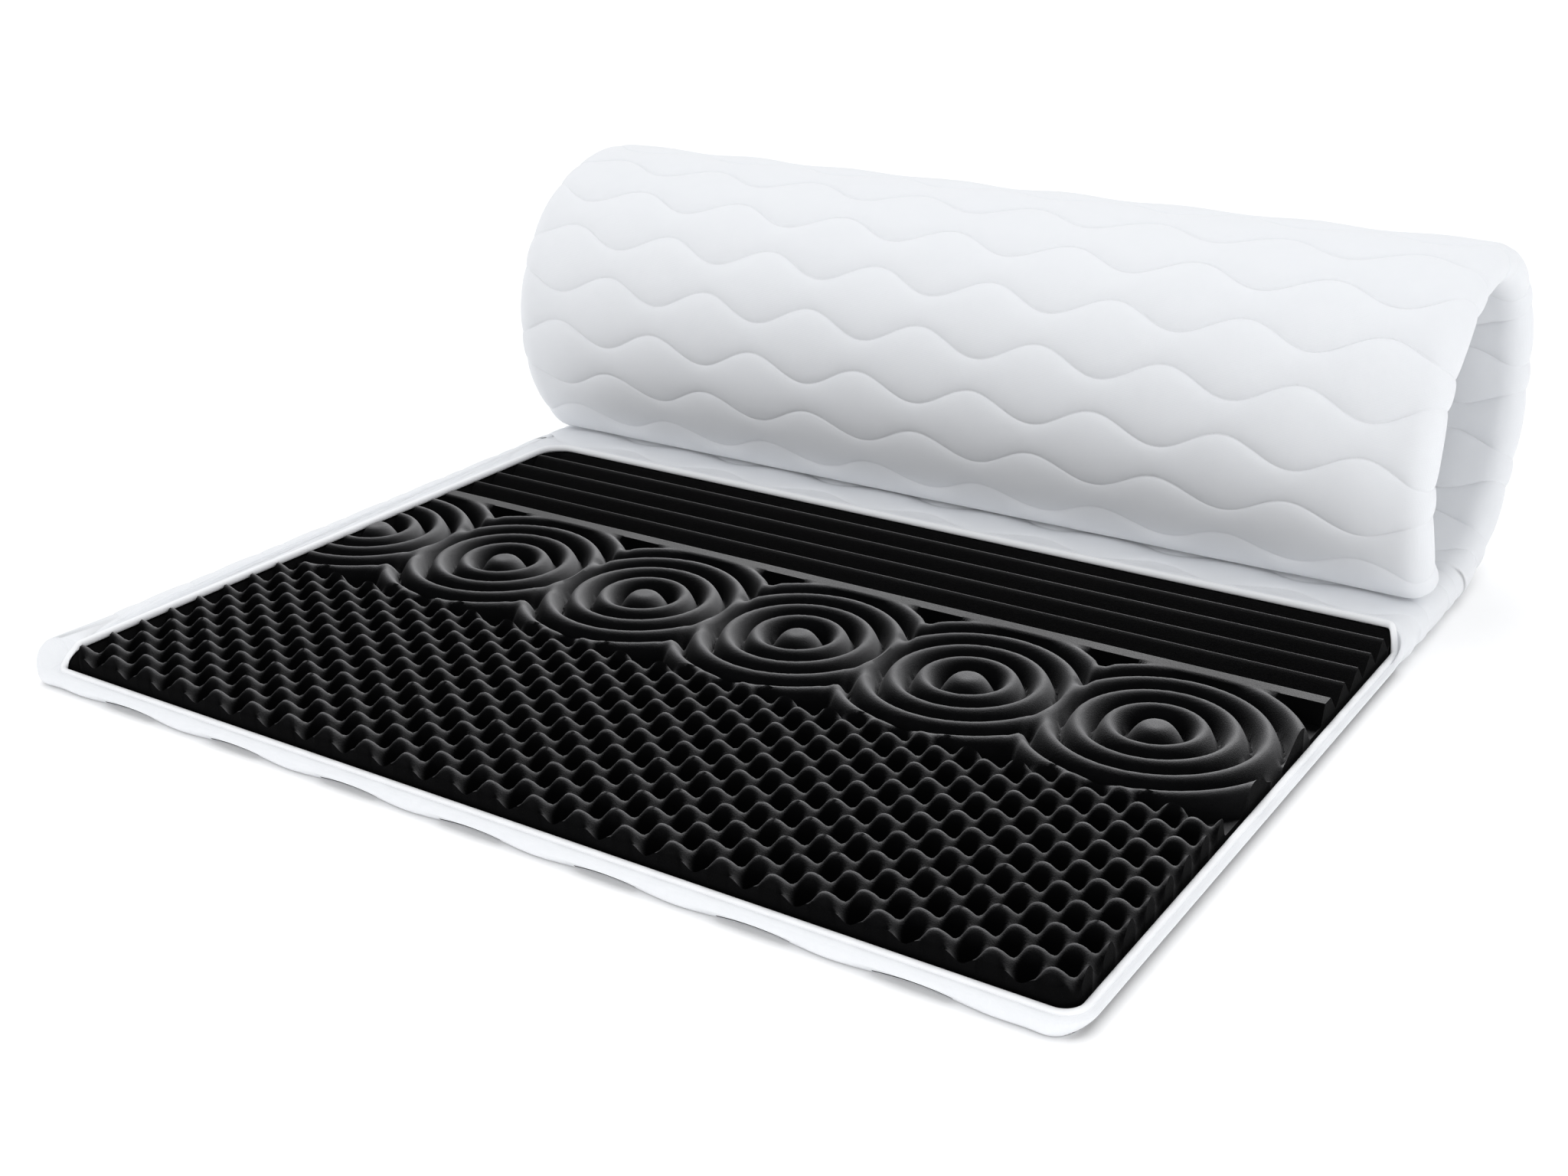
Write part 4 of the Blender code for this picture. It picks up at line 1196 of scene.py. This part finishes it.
@dataclass
class FoamCore:
    """The foam core: bumps in front, sets of rings in the middle, ridges behind."""

    left: float = -0.5360
    right: float = 0.5877
    front: float = -0.5887
    back: float = 0.1922
    corners: tuple[float, ...] = (0.006, 0.0145, 0.0255, 0.0135)
    bottom: float = 0.0064
    step: float = 0.0032
    egg_x: float = -0.5350
    egg_pitch: float = 0.0502
    egg_y: float = -0.5800
    egg_row: float = 0.0194
    egg_middle: float = 0.0367
    egg_waves: tuple[tuple[int, int, float], ...] = (  # times across, times along, height
        (1, 1, 0.0075), (1, -1, 0.0075), (2, 0, -0.0022))
    ring_y: float = -0.1536
    ring_half: float = 0.125
    first_ring_x: float = -0.5329
    ring_spacing: float = 0.2002
    ring_sets: int = 6
    ring_pitch: float = 0.0298
    first_ring: float = 0.0448
    ring_crest: float = 0.0470
    ring_valley: float = 0.0230
    dome_flat: float = 0.009
    ring_fullness: float = 0.48
    ring_meeting: float = 0.06
    ridge_pitch: float = 0.0414
    first_ridge_y: float = -0.0102
    ridge_crest: float = 0.0463
    ridge_valley: float = 0.0255
    # painted highlight masks of the three zones, lighter on crests
    worn: dict[Zone, bpy.types.NodeSocket] = field(default_factory=dict)

    def sizes(self) -> dict[str, float]:
        """The tree's inputs."""
        return {
            "Egg X": self.egg_x, "Egg Pitch": self.egg_pitch, "Egg Y": self.egg_y,
            "Egg Row": self.egg_row, "Egg Middle": self.egg_middle,
            **{self.wave_name(across, along): rise for across, along, rise in self.egg_waves},
            "Ring X": self.first_ring_x, "Ring Y": self.ring_y, "Ring Half": self.ring_half,
            "Ring Spacing": self.ring_spacing, "Ring Sets": float(self.ring_sets),
            "Ring Pitch": self.ring_pitch, "First Ring": self.first_ring,
            "Ring Crest": self.ring_crest, "Ring Valley": self.ring_valley,
            "Dome Flat": self.dome_flat, "Ridge Pitch": self.ridge_pitch,
            "Ridge Y": self.first_ridge_y, "Ridge Crest": self.ridge_crest,
            "Ridge Valley": self.ridge_valley,
            "Shift X": SHIFT[0], "Shift Y": SHIFT[1]}

    def wave_name(self, across: int, along: int) -> str:
        """What the tree calls the height of one of the bumps' waves."""
        return f"Egg Wave {across} {along}"

    def tree(self, material: bpy.types.Material) -> ShapeTree:
        """The rule of the core's top as a geometry node tree."""
        made = ShapeTree("foam_profile", self.sizes())
        w = made.wires
        place = w.node("GeometryNodeInputPosition")
        parts = w.node("ShaderNodeSeparateXYZ", Vector=place.outputs[0])
        x = w.math("SUBTRACT", parts.outputs[0], made.size("Shift X"))
        y = w.math("SUBTRACT", parts.outputs[1], made.size("Shift Y"))
        heights = {Zone.BUMPS: self.bump_height(made, x, y),
                   Zone.RINGS: self.ring_height(made, x, y),
                   Zone.RIDGES: self.ridge_height(made, y)}
        front = w.math("SUBTRACT", made.size("Ring Y"), made.size("Ring Half"))
        back = w.math("ADD", made.size("Ring Y"), made.size("Ring Half"))
        to_rings = w.remap(y, w.math("SUBTRACT", front, 0.0135), front)
        to_ridges = w.remap(y, w.math("SUBTRACT", back, 0.004), w.math("ADD", back, 0.003))
        z = self.between(w, heights[Zone.BUMPS], heights[Zone.RINGS], to_rings)
        z = self.between(w, z, heights[Zone.RIDGES], to_ridges)
        top = w.node("GeometryNodeInputNamedAttribute", {"data_type": "FLOAT"}, Name="top")
        # the painted highlight is blended between zones like the height and stored on the mesh
        worn = self.between(w, self.worn[Zone.BUMPS], self.worn[Zone.RINGS], to_rings)
        worn = self.between(w, worn, self.worn[Zone.RIDGES], to_ridges)
        worn = w.math("MULTIPLY", worn, top.outputs[0])
        flat = parts.outputs[2]
        z = self.between(w, flat, z, top.outputs[0])
        moved = w.node("ShaderNodeCombineXYZ", X=parts.outputs[0], Y=parts.outputs[1], Z=z)
        shaped = w.node("GeometryNodeSetPosition", Geometry=made.start.outputs["Geometry"],
                        Position=moved.outputs[0])
        marked = w.node("GeometryNodeStoreNamedAttribute", {"data_type": "FLOAT"},
                        Geometry=shaped.outputs[0], Name="worn", Value=worn)
        made.close(marked.outputs[0], material)
        return made

    def between(self, w: Wires, low: Value, high: Value, share: Value) -> bpy.types.NodeSocket:
        """A value part of the way from one to another."""
        return w.math("MULTIPLY_ADD", w.math("SUBTRACT", high, low), share, low)

    def bump_height(self, made: ShapeTree, x: Value, y: Value) -> bpy.types.NodeSocket:
        """Leaning bumps and pits that change places from row to row, as a sum of waves."""
        w = made.wires
        across = w.math("DIVIDE", w.math("SUBTRACT", x, made.size("Egg X")),
                        w.math("DIVIDE", made.size("Egg Pitch"), 2 * math.pi))
        along = w.math("DIVIDE", w.math("SUBTRACT", y, made.size("Egg Y")),
                       w.math("DIVIDE", made.size("Egg Row"), math.pi))
        swing = 0.0
        for times_across, times_along, _ in self.egg_waves:
            turn = w.math("MULTIPLY_ADD", across, float(times_across),
                          w.math("MULTIPLY", along, float(times_along)))
            rise = made.size(self.wave_name(times_across, times_along))
            swing = w.math("MULTIPLY_ADD", w.math("COSINE", turn), rise, swing)
        # painted highlight on the bump tops
        self.worn[Zone.BUMPS] = w.remap(swing, 0.0, sum(rise for *_, rise in self.egg_waves))
        return w.math("ADD", swing, made.size("Egg Middle"))

    def ring_height(self, made: ShapeTree, x: Value, y: Value) -> bpy.types.NodeSocket:
        """Sets of rings side by side, each blended into the next where they meet."""
        w = made.wires
        across = w.math("DIVIDE", w.math("SUBTRACT", x, made.size("Ring X")),
                        made.size("Ring Spacing"))
        before = w.math("FLOOR", across)
        swings = [self.one_set(made, x, y, w.math("ADD", before, n)) for n in (0.0, 1.0)]
        share = w.remap(w.math("SUBTRACT", across, before), 0.5 - self.ring_meeting,
                        0.5 + self.ring_meeting)
        swing = self.between(w, *swings, share)
        # painted highlight on the ring crests
        self.worn[Zone.RINGS] = w.remap(swing, -0.4, 0.8)
        return self.between(w, made.size("Ring Valley"), made.size("Ring Crest"), swing)

    def one_set(self, made: ShapeTree, x: Value, y: Value, number: Value) -> bpy.types.NodeSocket:
        """Rings round one axis, with a dome in their middle.

        Args:
            made: The tree.
            x: Place across.
            y: Place along.
            number: Which set, counted from the left.

        Returns:
            The height as a share, from 0 in a valley to 1 on a crest.
        """
        w = made.wires
        last = w.math("SUBTRACT", made.size("Ring Sets"), 1.0)
        number = w.math("MINIMUM", w.math("MAXIMUM", number, 0.0), last)
        axis = w.math("MULTIPLY_ADD", number, made.size("Ring Spacing"), made.size("Ring X"))
        beside = w.math("SUBTRACT", x, axis)
        beyond = w.math("SUBTRACT", y, made.size("Ring Y"))
        radius = w.math("SQRT", w.math("ADD", w.math("MULTIPLY", beside, beside),
                                       w.math("MULTIPLY", beyond, beyond)))
        pitch, first = made.size("Ring Pitch"), made.size("First Ring")
        radius = w.math("MINIMUM", radius, w.math("MULTIPLY_ADD", pitch, 3.5, first))
        valley = w.math("MULTIPLY_ADD", pitch, -0.5, first)
        flat = made.size("Dome Flat")
        dome = w.math("DIVIDE", w.math("SUBTRACT", radius, flat), w.math("SUBTRACT", valley, flat))
        dome = w.math("COSINE", w.math("MULTIPLY", w.math("MAXIMUM", dome, 0.0), math.pi))
        ring = w.math("DIVIDE", w.math("SUBTRACT", radius, first), pitch)
        ring = w.math("COSINE", w.math("MULTIPLY", ring, 2 * math.pi))
        swing = self.between(w, dome, ring, w.math("GREATER_THAN", radius, valley))
        half = w.math("MULTIPLY_ADD", swing, 0.4999, 0.5)
        return w.math("POWER", half, self.ring_fullness)

    def ridge_height(self, made: ShapeTree, y: Value) -> bpy.types.NodeSocket:
        """Straight ridges with slightly rounded crests."""
        w = made.wires
        half = w.math("MULTIPLY", made.size("Ridge Pitch"), 0.5)
        from_first = w.math("SUBTRACT", y, made.size("Ridge Y"))
        down = w.math("PINGPONG", w.math("ABSOLUTE", from_first), half)
        soft = 0.0010
        down = w.math("SUBTRACT", w.math("SQRT", w.math("MULTIPLY_ADD", down, down, soft ** 2)),
                      soft)
        first = w.math("GREATER_THAN", from_first, 0.0)
        down = w.math("MULTIPLY", down, first)
        # painted highlight along the ridge crest lines
        self.worn[Zone.RIDGES] = w.remap(down, 0.0, 0.0012, 0.05, 0.0)
        slope = w.math("DIVIDE", w.math("SUBTRACT", made.size("Ridge Crest"),
                                        made.size("Ridge Valley")), half)
        return w.math("SUBTRACT", made.size("Ridge Crest"), w.math("MULTIPLY", down, slope))

    def lines(self) -> np.ndarray:
        """Places of the grid's lines from front to back, with each crest on one."""
        keys = [self.front, self.ring_y - self.ring_half, self.ring_y + self.ring_half]
        for n in range(5):
            crest = self.first_ridge_y + n * self.ridge_pitch
            keys += [crest - 0.0008, crest, crest + 0.0008, crest + self.ridge_pitch / 2]
        keys += [self.back]
        keys = sorted(keys)
        found = []
        for low, high in zip(keys, keys[1:]):
            count = max(1, math.ceil((high - low) / self.step))
            found += list(np.linspace(low, high, count, endpoint=False))
        return np.array(found + [self.back])

    def tucked(self, x: np.ndarray, y: np.ndarray) -> tuple[np.ndarray, np.ndarray]:
        """Draws a square plan in under its rounded corners."""
        right, behind = x > 0, y > (self.front + self.back) / 2
        radius = np.array(self.corners)[right.astype(int) + 2 * behind.astype(int)]
        centre_x = np.where(right, self.right - radius, self.left + radius)
        centre_y = np.where(behind, self.back - radius, self.front + radius)
        dx, dy = x - centre_x, y - centre_y
        inside = ((dx > 0) == right) & ((dy > 0) == behind) & (dx != 0) & (dy != 0)
        far = np.hypot(dx, dy)
        share = np.where(inside, np.maximum(abs(dx), abs(dy)) / np.maximum(far, 1e-12), 1.0)
        return (np.where(inside, centre_x + dx * share, x),
                np.where(inside, centre_y + dy * share, y))

    def blank(self) -> bpy.types.Mesh:
        """The closed block that the tree shapes, its top marked by an attribute."""
        xs = np.linspace(self.left, self.right, round((self.right - self.left) / self.step) + 1)
        ys = self.lines()
        x, y = self.tucked(*np.meshgrid(xs, ys))
        draft = Draft()
        top = draft.add(np.stack([x, y, np.full_like(x, 0.04)], -1))
        draft.grid(top)
        rim = np.concatenate([top[0], top[1:, -1], top[-1, -2::-1], top[-2:0:-1, 0]])
        flat = np.vstack(draft.points)[rim]
        base = draft.add(np.column_stack([flat[:, :2], np.full(len(flat), self.bottom)]))
        draft.grid(np.stack([rim, base], -1), around=True)
        draft.faces.append(base.tolist())
        mesh = draft.mesh("foam_blank")
        marks = mesh.attributes.new("top", "FLOAT", "POINT")
        heights = np.empty(len(mesh.vertices) * 3)
        mesh.vertices.foreach_get("co", heights)
        marks.data.foreach_set("value", (heights[2::3] > 0.02).astype(float))
        return mesh

    def build(self) -> list[bpy.types.Object]:
        """Makes the core."""
        core = self.tree(FOAM.make()).applied("foam_profiled", self.blank())
        core.data.shade_smooth()
        core.data.set_sharp_from_angle(angle=math.radians(58))
        core.data.attributes.remove(core.data.attributes["top"])
        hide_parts("foam_core")
        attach(core, BODY)
        return [core]


# ---- the studio --------------------------------------------------------------------------------


@dataclass
class Studio:
    """Floor, soft lights and the camera at the photograph's angle."""

    camera_place: tuple[float, float, float] = (1.0816, -1.7375, 0.8748)
    right: tuple[float, float, float] = (0.83855665, 0.54478688, -0.005477)
    down: tuple[float, float, float] = (0.20380725, -0.32299973, -0.924194)
    forward: tuple[float, float, float] = (-0.5052577, 0.77387236, -0.381885)
    lens: float = 45.22
    floor_size: float = 60.0
    floor_drop: float = 0.0004  # keeps it from touching the underside
    fill_place: tuple[float, float, float] = (1.6, -3.0, 1.6)
    fill_aim: tuple[float, float, float] = (0.0, 0.1, 0.1)
    fill_size: float = 2.4
    fill_power: float = 16.3
    world_colour: tuple[float, float, float, float] = (0.96, 0.975, 1.0, 1.0)
    world_strength: float = 0.25
    lamps: list[bpy.types.Object] = field(default_factory=list)

    def floor(self) -> bpy.types.Object:
        """A plain pale floor."""
        half, low = self.floor_size / 2, -self.floor_drop
        corners = [(-half, -half, low), (half, -half, low), (half, half, low), (-half, half, low)]
        mesh = bpy.data.meshes.new("floor")
        mesh.from_pydata(corners, [], [(0, 1, 2, 3)])
        finish = Finish("floor_pale", (0.93, 0.93, 0.93), roughness=0.9, specular=0.05)
        mesh.materials.append(finish.make())
        made = linked("floor", mesh)
        return made

    def fill(self) -> None:
        """A soft square light from the front."""
        data = bpy.data.lights.new("fill", "AREA")
        data.shape = "SQUARE"
        data.size = self.fill_size
        data.energy = self.fill_power
        lamp = bpy.data.objects.new("fill", data)
        bpy.context.scene.collection.objects.link(lamp)
        way = Vector(self.fill_aim) - Vector(self.fill_place)
        lamp.rotation_euler = way.to_track_quat("-Z", "Y").to_euler()
        lamp.location = self.fill_place
        self.lamps.append(lamp)

    def sun(self, name: str, rise_deg: float, turn_deg: float, power: float,
            wide_deg: float) -> bpy.types.Object:
        """A broad even light from far away.

        Args:
            name: What it is called.
            rise_deg: Its height over the floor.
            turn_deg: How far it stands to the left of straight behind.
            power: Its strength.
            wide_deg: Its width in the sky.

        Returns:
            The lamp.
        """
        data = bpy.data.lights.new(name, "SUN")
        data.energy = power
        data.angle = math.radians(wide_deg)
        lamp = bpy.data.objects.new(name, data)
        bpy.context.scene.collection.objects.link(lamp)
        lamp.rotation_euler = (math.radians(rise_deg - 90), 0.0, math.radians(turn_deg))
        self.lamps.append(lamp)
        return lamp

    def light_one(self, target: bpy.types.Object, name: str, rise_deg: float, turn_deg: float,
                  power: float, wide_deg: float) -> None:
        """A sun that falls on one object alone, and that nothing else shades.

        Args:
            target: The object.
            name: What the light is called.
            rise_deg: Its height over the floor.
            turn_deg: How far it stands to the left of straight behind.
            power: Its strength.
            wide_deg: Its width in the sky.
        """
        lamp = self.sun(name, rise_deg, turn_deg, power, wide_deg)
        group = bpy.data.collections.new(f"{name}_on")
        group.objects.link(target)
        lamp.light_linking.receiver_collection = group
        lamp.light_linking.blocker_collection = group

    def light_foam(self, foam: bpy.types.Object) -> None:
        """Gives the foam one light of its own from behind, and takes the others off it."""
        for lamp in self.lamps:
            if lamp.light_linking.receiver_collection:
                continue
            group = bpy.data.collections.new(f"{lamp.name}_not_on")
            group.objects.link(foam)
            group.collection_objects[0].light_linking.link_state = "EXCLUDE"
            lamp.light_linking.receiver_collection = group
        self.light_one(foam, "back", 34.0, 14.0, 34.0, 40.0)

    def camera(self) -> None:
        """The camera of the photograph."""
        data = bpy.data.cameras.new("camera")
        data.sensor_width = 36.0
        data.lens = self.lens
        data.clip_end = 50.0
        made = bpy.data.objects.new("camera", data)
        bpy.context.scene.collection.objects.link(made)
        columns = (self.right, tuple(-v for v in self.down), tuple(-v for v in self.forward))
        turned = Matrix(columns).transposed().to_4x4()
        turned.translation = self.camera_place
        made.matrix_world = turned
        bpy.context.scene.camera = made

    def build(self) -> None:
        """Sets up the studio."""
        self.light_one(self.floor(), "ground", 90.0, 0.0, 0.8, 60.0)
        self.fill()
        self.sun("sky", 62.0, 20.0, 0.457, 50.0)
        self.sun("dome", 90.0, 0.0, 2.1, 170.0)
        world = bpy.data.worlds.new("studio")
        bpy.context.scene.world = world
        world.use_nodes = True
        background = world.node_tree.nodes["Background"]
        background.inputs["Color"].default_value = self.world_colour
        background.inputs["Strength"].default_value = self.world_strength
        bpy.context.scene.view_settings.view_transform = "Standard"
        self.camera()


def main() -> None:
    """Builds the pieces in order and reports each one."""
    logging.basicConfig(level=logging.INFO, format="%(name)s: %(message)s")
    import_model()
    knit_group()
    grain_group()
    drift_group()
    studio = Studio()
    studio.build()
    for maker in (Cover(), FoamCore(), Bead()):
        for piece in maker.build():
            faces = sum(len(p.vertices) - 2 for p in piece.data.polygons)
            LOG.info("%s: %d triangles", piece.name, faces)
    studio.light_foam(bpy.data.objects["foam_profiled"])


if __name__ == "__main__":
    main()
